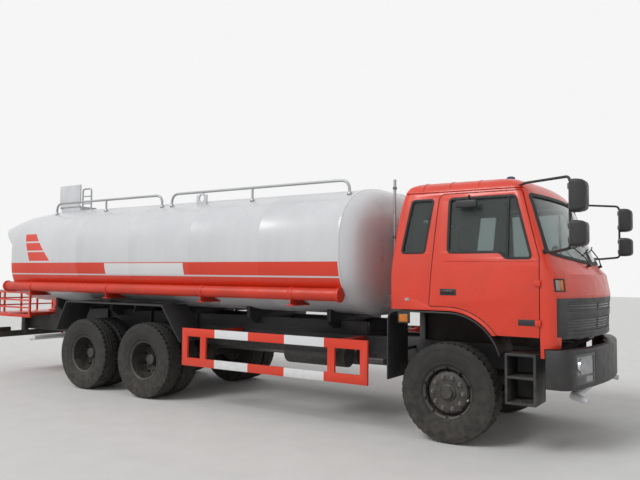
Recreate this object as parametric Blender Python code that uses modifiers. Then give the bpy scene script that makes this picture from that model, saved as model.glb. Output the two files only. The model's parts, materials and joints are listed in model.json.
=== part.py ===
"""A three-axle water tanker truck with a tilting cab, an oval tank and a rear work platform.

Lengths are in metres and angles in degrees. X runs forwards from the front axle, Y to the left
and Z up from the ground. Everything hangs from one empty, which moves the origin to the middle
of the truck's length.
"""
import math

import bmesh
import bpy
from mathutils import Matrix, Vector

# Fits
FIT = 0.0003                # between pieces that touch
PANEL_GAP = 0.008           # round a door
WORK_GAP = 0.012            # between parts that move past each other or are loosely fitted
OVERRUN = 0.06              # how far a cutter runs past what it cuts

# Wheels, from 10.00-20 tyres
WHEEL_SIDES = 20
TYRE_RADIUS = 0.5315
TYRE_HALF_WIDTH = 0.139
TREAD_HALF_WIDTH = 0.095
SHOULDER_DROP = 0.026
SHOULDER_HALF_WIDTH = 0.127
BULGE_RADIUS = 0.39
BEAD_RADIUS = 0.262
BEAD_HALF_WIDTH = 0.095
FLANGE_RADIUS = 0.275
FLANGE_THICKNESS = 0.013
RIM_THICKNESS = 0.018
STUD_FACE_RADIUS = 0.205
STUD_FACE_OUT = 0.088
HUB_RADIUS = 0.095
HUB_OUT = 0.138
HUB_BACK = 0.035
DISC_THICKNESS = 0.02
DRUM_RADIUS = 0.200
TWIN_SPACING = 0.32
TWIN_BACK = 0.205
TWIN_HUB_RADIUS = 0.105
TWIN_HUB_OUT = 0.150
AXLE_Z = TYRE_RADIUS * math.cos(math.pi / WHEEL_SIDES)

# Where the axles are
MID_AXLE_X = -4.45
BOGIE_SPACING = 1.30
REAR_AXLE_X = MID_AXLE_X - BOGIE_SPACING
TRUNNION_X = MID_AXLE_X - BOGIE_SPACING / 2
FRONT_WHEEL_Y = 0.955
TWIN_WHEEL_Y = 0.915
STEER_OFFSET = 0.20
KINGPIN_Y = FRONT_WHEEL_Y - STEER_OFFSET

# Ladder frame
FRAME_FRONT_X = 1.10
FRAME_REAR_X = -8.40
FRAME_HALF_WIDTH = 0.43
FRAME_TOP_Z = 1.00
FRAME_DEPTH = 0.27
FRAME_FLANGE = 0.08
FRAME_PLATE = 0.012
CROSS_LENGTH = 0.08
CROSS_DEPTH = 0.18
CROSS_SHARES = (0.010, 0.265, 0.338, 0.474, 0.532, 0.6526, 0.774, 0.874, 0.990)
FRAME_BOTTOM_Z = FRAME_TOP_Z - FRAME_DEPTH
BRACKET_HALF_LENGTH = 0.12
BRACKET_DROP = 0.12

# Front axle and springs
BEAM_HALF_HEIGHT = 0.055
BEAM_HALF_LENGTH = 0.045
BEAM_DROP = 0.06
BOSS_RADIUS = 0.05
BOSS_HALF_HEIGHT = 0.06
EAR_THICKNESS = 0.035
KNUCKLE_PLATE = 0.03
SPINDLE_RADIUS = 0.10
SPRING_INSET = 0.03
SPRING_Y = FRAME_HALF_WIDTH - SPRING_INSET
SPRING_HALF_WIDTH = 0.038
SPRING_HALF_SPAN = 0.72
SPRING_THICKNESS = 0.07
SPRING_RISE = 0.10
HANGER_HALF_LENGTH = 0.05

# Bogie
HOUSING_RADIUS = 0.07
BANJO_RADIUS = 0.18
BANJO_HALF_WIDTH = 0.12
BANJO_SLOPE = 0.12
NOSE_LENGTH = 0.34
NOSE_RADIUS = 0.075
FLANGE_HUB_RADIUS = 0.11
FLANGE_HUB_LENGTH = 0.03
HOUSING_SIDES = 12
THROUGH_RISE = 0.15
PAD_TOP_Z = 0.64
PACK_STAND = 0.07
PACK_Y = FRAME_HALF_WIDTH + PACK_STAND
PACK_HALF_WIDTH = 0.04
PACK_END_THICKNESS = 0.05
PACK_MID_THICKNESS = 0.17
TRUNNION_RADIUS = 0.06
TRUNNION_Z = 0.52
TRUNNION_END = 0.06
TRUNNION_HALF_LENGTH = PACK_Y + TRUNNION_END

# Engine and drive
ENGINE_REAR_X = -0.55
ENGINE_FRONT_X = 0.62
ENGINE_ROOM = 0.12
ENGINE_HALF_WIDTH = FRAME_HALF_WIDTH - ENGINE_ROOM
ENGINE_BOTTOM_Z = 0.62
ENGINE_TOP_Z = 1.33
ENGINE_STEP_X = 0.22
ENGINE_NOSE_TOP_Z = 1.08
GEARBOX_REAR_X = -1.20
GEARBOX_HALF_WIDTH = 0.19
GEARBOX_TOP_Z = 0.97
MOUNT_X = 0.30
MOUNT_HALF_SIZE = 0.04
SHAFT_RADIUS = 0.045
THROUGH_SHAFT_RADIUS = 0.032

# Tank
TANK_HALF_WIDTH = 1.21
TANK_BOTTOM_Z = 1.245
TANK_TOP_Z = 2.84
TANK_POWER = 2.6            # 2 makes an ellipse, more makes it squarer
HEAD_POWER = 2.8
TAIL_MID_POWER = 3.1
TAIL_END_POWER = 4.2
TANK_RIM_X = -1.25
TANK_DOME = 0.27
DOME_SHARES = ((1.00, 0.50), (0.80, 0.80), (0.48, 0.93))    # of its length and its size
TANK_SIDE_REAR_X = -7.66
TAIL_START_X = -7.15
TAIL_MID_TOP_Z = 2.76
TAIL_END_X = -8.02
TAIL_END_TOP_Z = 2.60
TAIL_END_HALF_WIDTH = 1.20
TAIL_LIP_Z = 2.50
TAIL_CUT_Z = 2.20
TAIL_WALL = 0.03
TAIL_HEAD_X = -7.38
TANK_SECTION_SIDES = 32
RIM_WIDTH = 0.05
RIM_STAND = 0.008

# Cradle
SILL_REAR_X = -7.55
SILL_TOP_Z = 1.17
SILL_HALF_WIDTH = 0.035
SADDLE_SHARES = (0.065, 0.27, 0.496, 0.715, 0.935)
SADDLE_HALF_LENGTH = 0.03
SADDLE_REACH = 0.25
SADDLE_HALF_WIDTH = FRAME_HALF_WIDTH + SADDLE_REACH
SADDLE_TOP_Z = 1.60
SADDLE_BOTTOM_Z = 1.08

# Top rails and fixtures
RAIL_Y = 0.80
RAIL_RADIUS = 0.018
RAIL_TOP_Z = 2.90
RAIL_END_DROP = 0.32
RAIL_BEND = 0.12
RAIL_CORNER_SHARE = 0.3
FRONT_RAIL_START_X = -1.35
FRONT_RAIL_END_X = -4.35
REAR_RAIL_START_X = -4.55
REAR_RAIL_END_X = -7.05
LUG_X = -3.76
LUG_HALF_LENGTH = 0.10
LUG_TOP_Z = 2.89
LUG_HALF_THICKNESS = 0.012
LUG_HOLE_RADIUS = 0.045
HATCH_REAR_X = -7.68
HATCH_FRONT_X = -7.14
HATCH_RIGHT_Y = -0.27
HATCH_LEFT_Y = 0.07
HATCH_RIM_Z = 2.91
HATCH_WALL = 0.02
HATCH_DEPTH = 0.20
HATCH_WELL_DEPTH = 0.09
LID_THICKNESS = 0.02
LID_OVERHANG = 0.015
LID_LIFT = 0.018
LID_HEIGHT = 0.37
LID_HINGE_RADIUS = 0.012
LID_CLEARANCE = 0.018
LUG_PLATE = 0.012
HOOP_REAR_X = -7.06
HOOP_FRONT_X = -6.83
HOOP_Y = -0.29
HOOP_TOP_Z = 3.21
HOOP_RADIUS = 0.014
SIGHT_TUBE_Y = -0.42
SIGHT_TUBE_X = -0.93
SIGHT_TUBE_TOP_Z = 2.92
SIGHT_TUBE_BOTTOM_Z = 1.50
SIGHT_TUBE_RADIUS = 0.018

# Hose tubes along the tank
HOSE_INSET = 0.07
HOSE_Y = TANK_HALF_WIDTH - HOSE_INSET
HOSE_Z = 1.515
HOSE_RADIUS = 0.075
HOSE_REAR_X = -7.85
HOSE_FRONT_X = -1.27
HOSE_DISC_RADIUS = 0.088
HOSE_DISC_LENGTH = 0.02
CLAMP_SHARES = (0.108, 0.39, 0.6775, 0.8985)
CLAMP_HALF_LENGTH = 0.05
CLAMP_BOTTOM_Z = 1.37

# Side guards
GUARD_REAR_X = -3.68
GUARD_FRONT_X = -0.87
GUARD_BOTTOM_Z = 0.53
GUARD_TOP_Z = 1.022
GUARD_RAIL_HEIGHT = 0.105
GUARD_POST_WIDTH = 0.095
GUARD_OUT_Y = 1.21
GUARD_THICKNESS = 0.03
GUARD_POST_SHARES = (0.1317, 0.8313)
GUARD_ARM_HALF_SIZE = 0.025
GUARD_ARM_Z = 0.972

# Tandem mudguards
MUD_TOP_Z = 1.31
MUD_TOP_FRONT_X = -4.08
MUD_TOP_REAR_X = -6.17
MUD_FRONT_X = -3.72
MUD_FRONT_Z = 0.83
MUD_REAR_X = -6.42
MUD_REAR_Z = 0.85
MUD_PLATE = 0.02
MUD_IN_Y = 0.72
MUD_ARM_HALF_SIZE = 0.02
MUD_ARM_Z = 1.21

# Platform and railing at the rear
FLOOR_FRONT_X = -7.72
FLOOR_REAR_X = -8.50
FLOOR_INSET = 0.06
FLOOR_HALF_WIDTH = TANK_HALF_WIDTH - FLOOR_INSET
FLOOR_TOP_Z = 1.05
TREAD_PLATE_RISE = 0.006
TREAD_PLATE_INSET = 0.10
TREAD_PLATE_IN_Y = 0.22
SIDE_STRIP_FRONT_X = -7.20
RAILING_TOP_Z = 1.42
RAILING_SIZE = 0.036
RAILING_BAR_SIZE = 0.026
RAILING_BAR_COUNT = 3
REAR_BAR_COUNT = 8
LADDER_Y = 0.62
LADDER_HALF_WIDTH = 0.20
LADDER_BOTTOM_Z = 0.48
LADDER_OUT_X = -8.55
RUNG_COUNT = 3

# Water cannon, on the platform
CANNON_X = -8.10
PEDESTAL_RADIUS = 0.07
PEDESTAL_BASE_RADIUS = 0.14
PEDESTAL_BASE_HEIGHT = 0.025
PEDESTAL_TOP_Z = 1.55
YOKE_HALF_WIDTH = 0.11
YOKE_PLATE = 0.02
YOKE_HALF_LENGTH = 0.06
YOKE_BASE_HEIGHT = 0.05
TRUNNION_HEIGHT = 0.22
BARREL_RADIUS = 0.045
BARREL_LENGTH = 0.42
BARREL_BACK = 0.14
BARREL_BOSS_RADIUS = 0.07
BARREL_FLARE = 0.065

# Underrun bar, tail lamps and spray pipes
UNDERRUN_X = -8.42
UNDERRUN_Z = 0.60
UNDERRUN_HEIGHT = 0.10
UNDERRUN_HALF_WIDTH = FLOOR_HALF_WIDTH
UNDERRUN_THICKNESS = 0.06
TAIL_LAMP_Y = 0.92
TAIL_LAMP_HALF_WIDTH = 0.19
TAIL_LAMP_HEIGHT = 0.12
TAIL_LAMP_DEPTH = 0.03
SPRAY_RADIUS = 0.04
FRONT_SPRAY_X = 1.22
FRONT_SPRAY_Z = 0.60
FRONT_SPRAY_HALF_WIDTH = 0.86
NOZZLE_LENGTH = 0.14
NOZZLE_TOE = 0.06
REAR_SPRAY_X = -7.30
REAR_SPRAY_Z = 0.66
REAR_SPRAY_HALF_WIDTH = 0.95

# Stores under the tank
FUEL_REAR_X = -2.70
FUEL_FRONT_X = -1.42
FUEL_STAND = 0.09
FUEL_WIDTH = 0.58
FUEL_IN_Y = FRAME_HALF_WIDTH + FUEL_STAND
FUEL_OUT_Y = FUEL_IN_Y + FUEL_WIDTH
FUEL_BOTTOM_Z = 0.50
FUEL_TOP_Z = 0.97
FUEL_CORNER = 0.06
AIR_TANK_RADIUS = 0.13
AIR_TANK_REAR_X = -2.10
AIR_TANK_FRONT_X = -1.25
AIR_TANK_STAND = 0.23
AIR_TANK_PITCH = 0.29
AIR_TANK_NEAR_Y = -FRAME_HALF_WIDTH - AIR_TANK_STAND
AIR_TANK_FAR_Y = AIR_TANK_NEAR_Y - AIR_TANK_PITCH
AIR_TANK_Z = 0.80
ARM_SHARES = (0.2, 0.8)       # of the length of a store that two arms carry

# Cab, as plan sections from the bottom to the crown of the roof
CAB_REAR_X = -0.63
CAB_HALF_WIDTH = 1.19
CAB_BOTTOM_Z = 0.965
SILL_Z = 1.155
SKIRT_Z = 1.12
CREASE_Z = 1.571
SIDE_BOTTOM_Z = 1.385
PANEL_SPLIT_Z = 1.54
BELT_Z = 1.772
COWL_Z = 1.85
WINDOW_MID_Z = 2.25
EAVE_Z = 2.60
ROOF_EDGE_Z = 2.72
ROOF_TOP_Z = 2.79
ROOF_CROWN = 0.02
CAB_WALL = 0.045
CAB_FLOOR_Z = 1.43
FOOTWELL_Z = 1.20
FOOTWELL_X = 0.56
REAR_CORNER_RADIUS = 0.09
FRONT_BOW_SHARES = (0.75, 0.5, 0.25)
FRONT_CORNER_RADIUS = 0.13
CORNER_TURN_DEG = 25.0
CAB_CORNER_X = 1.15
CAB_FRONT_X = 1.40
CAB_LEVELS = (CAB_BOTTOM_Z, SKIRT_Z, CREASE_Z, BELT_Z, COWL_Z, WINDOW_MID_Z, EAVE_Z,
              ROOF_EDGE_Z, ROOF_TOP_Z - ROOF_CROWN, ROOF_TOP_Z)
# shares of the rear end, the front corner, the front and the half width, for each level
CAB_PLAN_SHARES = (
    (1.000, 0.987, 0.957, 0.983),
    (1.000, 1.000, 0.982, 0.996),
    (1.000, 1.000, 1.000, 1.000),
    (1.000, 0.983, 0.971, 1.000),
    (0.990, 0.952, 0.911, 0.995),
    (0.913, 0.839, 0.800, 0.962),
    (0.817, 0.735, 0.679, 0.916),
    (0.738, 0.643, 0.593, 0.853),
    (0.476, 0.487, 0.443, 0.689),
    (0.111, 0.287, 0.264, 0.454),
)
ARCH_X = 0.05
ARCH_Z = 0.80
ARCH_RADIUS = 0.585

# Doors, in side view
DOOR_REAR_X = -0.16
DOOR_REAR_TOP_X = -0.075
DOOR_FRONT_X = 0.985
DOOR_TOP_Z = 2.615
DOOR_TOP_REAR_X = -0.03
DOOR_TOP_FRONT_X = 0.80
DOOR_ARCH_LIFT = 0.035
HINGE_STAND = 0.013
HINGE_Y = -CAB_HALF_WIDTH - HINGE_STAND
HINGE_RADIUS = 0.011
HINGE_LEAF = 0.045
HINGE_LENGTH = 0.06
HINGE_LOW_Z = 1.30
HINGE_HIGH_Z = 1.68
WINDOW_TOP_Z = 2.555
WINDOW_BOTTOM_Z = 1.99
WINDOW_DIP_Z = 1.927
DOOR_WINDOW_REAR_X = 0.05
DOOR_WINDOW_DIP_X = 0.60
DOOR_WINDOW_STEP_X = 0.65
DOOR_WINDOW_FRONT_X = 0.905
DOOR_WINDOW_TOP_X = 0.735
QUARTER_REAR_X = -0.476
QUARTER_REAR_TOP_X = -0.375
QUARTER_FRONT_X = -0.215
QUARTER_FRONT_TOP_X = -0.135
GLASS_THICKNESS = 0.006
GLASS_INSET = 0.018
SCREEN_INSET = 0.012
SCREEN_TOP_Z = 2.565
SCREEN_BOTTOM_Z = 1.895
SCREEN_CORNER_Z = 1.985
SCREEN_LOW_INSET = 0.075
SCREEN_HIGH_INSET = 0.155
SCREEN_BOTTOM_Y = CAB_HALF_WIDTH - SCREEN_LOW_INSET
SCREEN_TOP_Y = CAB_HALF_WIDTH - SCREEN_HIGH_INSET
SCREEN_START_X = 0.60
SIDE_CUT_SHARE = 0.75
BACK_WINDOW_Y = 0.52
BACK_WINDOW_LOW_Z = 2.02
BACK_WINDOW_HIGH_Z = 2.42
SCREEN_CURVE_SHARES = (0.4, 0.75)

# Front of the cab
GRILLE_REAR_X = 1.13
GRILLE_THICKNESS = 0.022
GRILLE_BOTTOM_Z = 1.17
STRIP_WIDTH = 0.105
STRIP_IN_Y = CAB_HALF_WIDTH - STRIP_WIDTH
TURN_LAMP_LOW_Z = 1.61
TURN_LAMP_HIGH_Z = 1.72
TURN_LAMP_INSET = 0.04
TURN_LAMP_WIDTH = 0.12
TURN_LAMP_OUT_Y = CAB_HALF_WIDTH - TURN_LAMP_INSET
TURN_LAMP_IN_Y = TURN_LAMP_OUT_Y - TURN_LAMP_WIDTH
TURN_LAMP_X = 1.10
TURN_LAMP_DEPTH = 0.03
BEACON_X = 0.55
BEACON_Y = -0.62
BEACON_RADIUS = 0.05
BEACON_HEIGHT = 0.075
TILT_X = 1.30
TILT_Z = 1.14
TILT_PIN_Y = FRAME_HALF_WIDTH - FRAME_FLANGE / 2
TILT_PIN_RADIUS = 0.022
TILT_PIN_HALF_LENGTH = 0.015
TILT_EAR_THICKNESS = 0.02
TILT_EAR_REACH = 0.008
TILT_EAR_FOOT = 0.12
CAB_REST_X = -0.56
CAB_REST_HALF_SIZE = 0.035

# Inside the cab
DASH_REAR_X = 0.86
DASH_BOTTOM_Z = 1.48
DASH_TOP_Z = 1.83
SEAT_FRONT_X = 0.26
SEAT_REAR_X = -0.42
SEAT_BASE_TOP_Z = 1.60
CUSHION_TOP_Z = 1.76
BACK_TOP_Z = 2.36
BACK_THICKNESS = 0.13
BACK_FOOT_SHARE = 0.75
BACK_HEAD_SHARE = 0.45
SEAT_PITCH = 0.60
SEAT_HALF_WIDTH = 0.26
BASE_INSET = 0.24
BASE_HALF_WIDTH = CAB_HALF_WIDTH - BASE_INSET
STEERING_Y = 0.58
DASH_INSET = 0.16
DASH_HALF_WIDTH = CAB_HALF_WIDTH - DASH_INSET
STEERING_WHEEL_X = 0.60
STEERING_WHEEL_Z = 1.93
STEERING_WHEEL_RADIUS = 0.235
STEERING_RIM_RADIUS = 0.016
STEERING_SLOPE_DEG = 38.0
COLUMN_RADIUS = 0.03

# Mirrors
MIRROR_X = 1.33
MIRROR_STAND = 0.26
MIRROR_Y = CAB_HALF_WIDTH + MIRROR_STAND
MIRROR_HALF_WIDTH = 0.095
MIRROR_DEPTH = 0.145
MIRROR_UPPER_LOW_Z = 2.33
MIRROR_UPPER_HIGH_Z = 2.62
MIRROR_LOWER_LOW_Z = 2.02
MIRROR_LOWER_HIGH_Z = 2.25
MIRROR_ARM_RADIUS = 0.014
MIRROR_TOP_INSET = 0.19
MIRROR_LOW_INSET = 0.08
MIRROR_TOP_ROOT_X = 0.72
MIRROR_TOP_ROOT_Y = CAB_HALF_WIDTH - MIRROR_TOP_INSET
MIRROR_TOP_ROOT_Z = 2.655
MIRROR_LOW_ROOT_X = 1.00
MIRROR_LOW_ROOT_Y = CAB_HALF_WIDTH - MIRROR_LOW_INSET
MIRROR_LOW_ROOT_Z = 1.99

# Bumper, headlamps and steps
BUMPER_TOP_Z = 1.05
BUMPER_BOTTOM_Z = 0.68
BUMPER_END_X = 1.03
BUMPER_CORNER_X = 1.27
BUMPER_FRONT_X = 1.45
BUMPER_HALF_WIDTH = CAB_HALF_WIDTH
BUMPER_BOW_SHARES = (0.8, 0.6, 0.4, 0.2)
BUMPER_THICKNESS = 0.10
BUMPER_CORNER_RADIUS = 0.12
BUMPER_BRACKET_HALF_WIDTH = 0.05
LAMP_INSET = 0.13
LAMP_WIDTH = 0.40
LAMP_OUT_Y = BUMPER_HALF_WIDTH - LAMP_INSET
LAMP_IN_Y = LAMP_OUT_Y - LAMP_WIDTH
LAMP_LOW_Z = 0.72
LAMP_HIGH_Z = 1.01
LAMP_BACK_X = 1.229
STEP_REAR_X = 0.64
STEP_FRONT_X = 0.94
STEP_INSET = 0.01
STEP_WIDTH = 0.38
STEP_OUT_Y = CAB_HALF_WIDTH - STEP_INSET
STEP_IN_Y = STEP_OUT_Y - STEP_WIDTH
STEP_TOP_Z = 0.995
STEP_BOTTOM_Z = 0.50
STEP_PLATE = 0.025
STEP_TREAD_Z = 0.75

# Front mudguards
FENDER_GAP = 0.012
FENDER_PLATE = 0.018
FENDER_INSET = 0.005
FENDER_WIDTH = 0.505
FENDER_OUT_Y = CAB_HALF_WIDTH - FENDER_INSET
FENDER_IN_Y = FENDER_OUT_Y - FENDER_WIDTH
FENDER_REAR_X = -0.645
FENDER_BOTTOM_Z = 0.62
FENDER_REAR_BEND = 0.10
FENDER_START_SHARE = 0.45     # of the arch's own front angle

# The origin is the middle of the length
FRONT_REACH_X = MIRROR_X + MIRROR_DEPTH
REAR_REACH_X = LADDER_OUT_X
MIDDLE_X = (FRONT_REACH_X + REAR_REACH_X) / 2

SMOOTH_DEG = 40.0
FLAT_DEG = 0.03


def clear_scene():
    """Remove every object, so that the script starts from nothing."""
    for item in list(bpy.data.objects):
        bpy.data.objects.remove(item, do_unlink=True)


def new_collection(name):
    """Add a collection to the scene."""
    group = bpy.data.collections.new(name)
    bpy.context.scene.collection.children.link(group)
    return group


def material(name, colour, roughness, metallic=0.0):
    """Make one Principled material."""
    item = bpy.data.materials.new(name)
    item.use_nodes = True
    shader = item.node_tree.nodes["Principled BSDF"]
    shader.inputs["Base Color"].default_value = (*colour, 1.0)
    shader.inputs["Roughness"].default_value = roughness
    shader.inputs["Metallic"].default_value = metallic
    return item


def solid(shape, name="solid", turn_out=True):
    """Turn a bmesh into an object; its faces are turned outwards unless it has a closed void."""
    if turn_out:
        bmesh.ops.recalc_face_normals(shape, faces=shape.faces)
        if shape.calc_volume(signed=True) < 0:
            bmesh.ops.reverse_faces(shape, faces=shape.faces)
    mesh = bpy.data.meshes.new(name)
    shape.to_mesh(mesh)
    shape.free()
    item = bpy.data.objects.new(name, mesh)
    bpy.context.scene.collection.objects.link(item)
    return item


def drop(item):
    """Delete a working object and its data."""
    data = item.data
    bpy.data.objects.remove(item, do_unlink=True)
    if isinstance(data, bpy.types.Mesh):
        bpy.data.meshes.remove(data)
    elif isinstance(data, bpy.types.Curve):
        bpy.data.curves.remove(data)


def baked(item, turn_out=True):
    """Return a plain mesh object of an object with its modifiers, and delete that object."""
    bpy.context.view_layer.update()
    evaluated = item.evaluated_get(bpy.context.evaluated_depsgraph_get())
    mesh = bpy.data.meshes.new_from_object(evaluated)
    mesh.transform(item.matrix_world)
    shape = bmesh.new()
    shape.from_mesh(mesh)
    bmesh.ops.remove_doubles(shape, verts=shape.verts, dist=FIT / 10)
    drop(item)
    bpy.data.meshes.remove(mesh)
    return solid(shape, "solid", turn_out)


def combine(base, others, operation):
    """Unite, cut or intersect a solid with others, which are used up."""
    for other in others:
        step = base.modifiers.new(operation, "BOOLEAN")
        step.operation = operation
        step.solver = "EXACT"
        step.object = other
        base = baked(base, False)
        drop(other)
    return base


def unite(first, *others):
    """Join solids that overlap into one body."""
    return combine(first, others, "UNION")


def cut(base, *cutters):
    """Take solids out of a solid."""
    return combine(base, cutters, "DIFFERENCE")


def common(first, *others):
    """Keep what solids share."""
    return combine(first, others, "INTERSECT")


def twin_of(item):
    """Copy a solid."""
    copy = item.copy()
    copy.data = item.data.copy()
    bpy.context.scene.collection.objects.link(copy)
    return copy


def mirrored(item):
    """Return the left-hand copy of a right-hand solid."""
    copy = twin_of(item)
    copy.data.transform(Matrix.Scale(-1, 4, Vector((0, 1, 0))))
    shape = bmesh.new()
    shape.from_mesh(copy.data)
    drop(copy)
    return solid(shape)


def block(x_ends, y_ends, z_ends):
    """A box between pairs of ends."""
    shape = bmesh.new()
    bmesh.ops.create_cube(shape, size=1.0)
    low = Vector((min(x_ends), min(y_ends), min(z_ends)))
    high = Vector((max(x_ends), max(y_ends), max(z_ends)))
    shape.transform(Matrix.Translation((low + high) / 2) @ Matrix.Diagonal((high - low).to_4d()))
    return solid(shape)


def rod(start, end, radius, sides=12, end_radius=None):
    """A round bar or cone between two points, with a flat side to the ground if it is level."""
    start, end = Vector(start), Vector(end)
    along = end - start
    shape = bmesh.new()
    bmesh.ops.create_cone(shape, cap_ends=True, segments=sides, radius1=radius,
                          radius2=radius if end_radius is None else end_radius,
                          depth=along.length)
    turn = along.to_track_quat("Z", "Y").to_matrix().to_4x4()
    half_side = Matrix.Rotation(math.pi / sides, 4, "Z")
    shape.transform(Matrix.Translation((start + end) / 2) @ turn @ half_side)
    return solid(shape)


def prism(outline, axis, ends):
    """A flat outline, a filled 2D curve, pushed between two places along an axis.

    The outline's points are (x, z) along Y, (y, z) along X and (x, y) along Z.
    """
    curve = bpy.data.curves.new("outline", "CURVE")
    curve.dimensions = "2D"
    curve.fill_mode = "BOTH"
    curve.extrude = abs(ends[1] - ends[0]) / 2
    line = curve.splines.new("POLY")
    line.points.add(len(outline) - 1)
    for point, place in zip(line.points, outline):
        point.co = (place[0], place[1], 0, 1)
    line.use_cyclic_u = True
    item = bpy.data.objects.new("outline", curve)
    bpy.context.scene.collection.objects.link(item)
    middle = (ends[0] + ends[1]) / 2
    columns = {"Y": ((1, 0, 0), (0, 0, 1), (0, -1, 0), (0, middle, 0)),
               "X": ((0, 1, 0), (0, 0, 1), (1, 0, 0), (middle, 0, 0)),
               "Z": ((1, 0, 0), (0, 1, 0), (0, 0, 1), (0, 0, middle))}[axis]
    rows = [[column[row] for column in columns] for row in range(3)]
    item.matrix_world = Matrix(rows + [[0, 0, 0, 1]])
    return baked(item)


def tube(points, radius, resolution=1):
    """A bent pipe with closed ends."""
    curve = bpy.data.curves.new("pipe", "CURVE")
    curve.dimensions = "3D"
    curve.bevel_depth = radius
    curve.bevel_resolution = resolution
    curve.use_fill_caps = True
    line = curve.splines.new("POLY")
    line.points.add(len(points) - 1)
    for point, place in zip(line.points, points):
        point.co = (*place, 1)
    item = bpy.data.objects.new("pipe", curve)
    bpy.context.scene.collection.objects.link(item)
    return baked(item)


def turned(profile, centre, outward=1, sides=WHEEL_SIDES):
    """A profile of (radius, distance outboard) turned about a level axis across the truck."""
    mesh = bpy.data.meshes.new("profile")
    points = [(radius, 0, out) for radius, out in profile]
    closed = min(radius for radius, out in profile) > 0
    pairs = [(i, i + 1) for i in range(len(points) - 1)]
    if closed:
        pairs.append((len(points) - 1, 0))
    mesh.from_pydata(points, pairs, [])
    item = bpy.data.objects.new("profile", mesh)
    bpy.context.scene.collection.objects.link(item)
    screw = item.modifiers.new("turn", "SCREW")
    screw.steps = sides
    screw.render_steps = sides
    screw.use_merge_vertices = True
    screw.merge_threshold = FIT / 10
    half_side = Matrix.Rotation(math.pi / sides, 4, "Z")
    to_side = Matrix(((1, 0, 0, 0), (0, 0, outward, 0), (0, -outward, 0, 0), (0, 0, 0, 1)))
    item.matrix_world = Matrix.Translation(centre) @ to_side @ half_side
    return baked(item)


def loft(rings):
    """Skin a row of rings that have the same number of points, and close both ends."""
    shape = bmesh.new()
    rows = [[shape.verts.new(point) for point in ring] for ring in rings]
    count = len(rows[0])
    for here, there in zip(rows, rows[1:]):
        for i in range(count):
            k = (i + 1) % count
            shape.faces.new((here[i], here[k], there[k]))
            shape.faces.new((here[i], there[k], there[i]))
    shape.faces.new(rows[0])
    shape.faces.new(rows[-1])
    return solid(shape)


def arc(centre, radius, start_deg, end_deg, steps):
    """Points on an arc, ends included."""
    turn = [math.radians(start_deg + (end_deg - start_deg) * i / steps) for i in range(steps + 1)]
    return [(centre[0] + radius * math.cos(a), centre[1] + radius * math.sin(a)) for a in turn]


def empty(name, place, parent=None):
    """An empty that carries the pieces of a moving body."""
    item = bpy.data.objects.new(name, None)
    truck.objects.link(item)
    item.parent = parent
    item.location = Vector(place) - (Vector(parent["place"]) if parent else Vector())
    item["place"] = tuple(place)
    return item


def join_flat_faces(item):
    """Join the faces that lie in one plane, which Booleans leave split."""
    shape = bmesh.new()
    shape.from_mesh(item.data)
    bmesh.ops.dissolve_limit(shape, angle_limit=math.radians(FLAT_DEG), verts=shape.verts,
                             edges=shape.edges)
    shape.to_mesh(item.data)
    shape.free()


def keep(item, name, paint, parent):
    """Name a finished solid, give it its material and hang it from its body."""
    join_flat_faces(item)
    item.name = name
    item.data.name = name
    for group in list(item.users_collection):
        group.objects.unlink(item)
    truck.objects.link(item)
    item.data.materials.clear()
    item.data.materials.append(paint)
    place = Vector(parent["place"])
    item.data.transform(Matrix.Translation(-place))
    item.parent = parent
    item.data.shade_smooth()
    item.data.set_sharp_from_angle(angle=math.radians(SMOOTH_DEG))
    return item


def keep_both(item, name, paint, parents):
    """Keep a right-hand solid and its left-hand mirror."""
    left = mirrored(item)
    keep(item, name + "_right", paint, parents[0])
    keep(left, name + "_left", paint, parents[1])


def channel(side):
    """One frame rail, a channel that opens to the middle of the truck."""
    web, lip = FRAME_HALF_WIDTH, FRAME_HALF_WIDTH - FRAME_FLANGE
    inner = FRAME_HALF_WIDTH - FRAME_PLATE
    low, high = FRAME_BOTTOM_Z, FRAME_TOP_Z
    half = [(web, low), (web, high), (lip, high), (lip, high - FRAME_PLATE),
            (inner, high - FRAME_PLATE), (inner, low + FRAME_PLATE), (lip, low + FRAME_PLATE),
            (lip, low)]
    outline = [(side * y, z) for y, z in half]
    return prism(outline, "X", (FRAME_REAR_X, FRAME_FRONT_X))


def frame():
    """Two rails, the members that cross between them, spring hangers and trunnion brackets."""
    pieces = [channel(1)]
    inner = FRAME_HALF_WIDTH - FRAME_PLATE / 2
    middle = FRAME_TOP_Z - FRAME_DEPTH / 2
    for share in CROSS_SHARES:
        x = FRAME_FRONT_X + (FRAME_REAR_X - FRAME_FRONT_X) * share
        pieces.append(block((x - CROSS_LENGTH / 2, x + CROSS_LENGTH / 2), (-inner, inner),
                            (middle - CROSS_DEPTH / 2, middle + CROSS_DEPTH / 2)))
    for side in (-1, 1):
        lip = side * (FRAME_HALF_WIDTH - FRAME_FLANGE)
        for x in (-SPRING_HALF_SPAN, SPRING_HALF_SPAN):
            pieces.append(block((x - HANGER_HALF_LENGTH, x + HANGER_HALF_LENGTH),
                                (lip, side * (FRAME_HALF_WIDTH - FRAME_PLATE / 2)),
                                (FRAME_BOTTOM_Z - FRAME_PLATE, FRAME_BOTTOM_Z + FRAME_PLATE)))
        pieces.append(block((TRUNNION_X - BRACKET_HALF_LENGTH, TRUNNION_X + BRACKET_HALF_LENGTH),
                            (lip, side * (FRAME_HALF_WIDTH - FRAME_PLATE / 2)),
                            (FRAME_BOTTOM_Z - BRACKET_DROP, FRAME_BOTTOM_Z + FRAME_PLATE)))
        pieces += cab_supports(side)
    return unite(channel(-1), *pieces)


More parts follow.
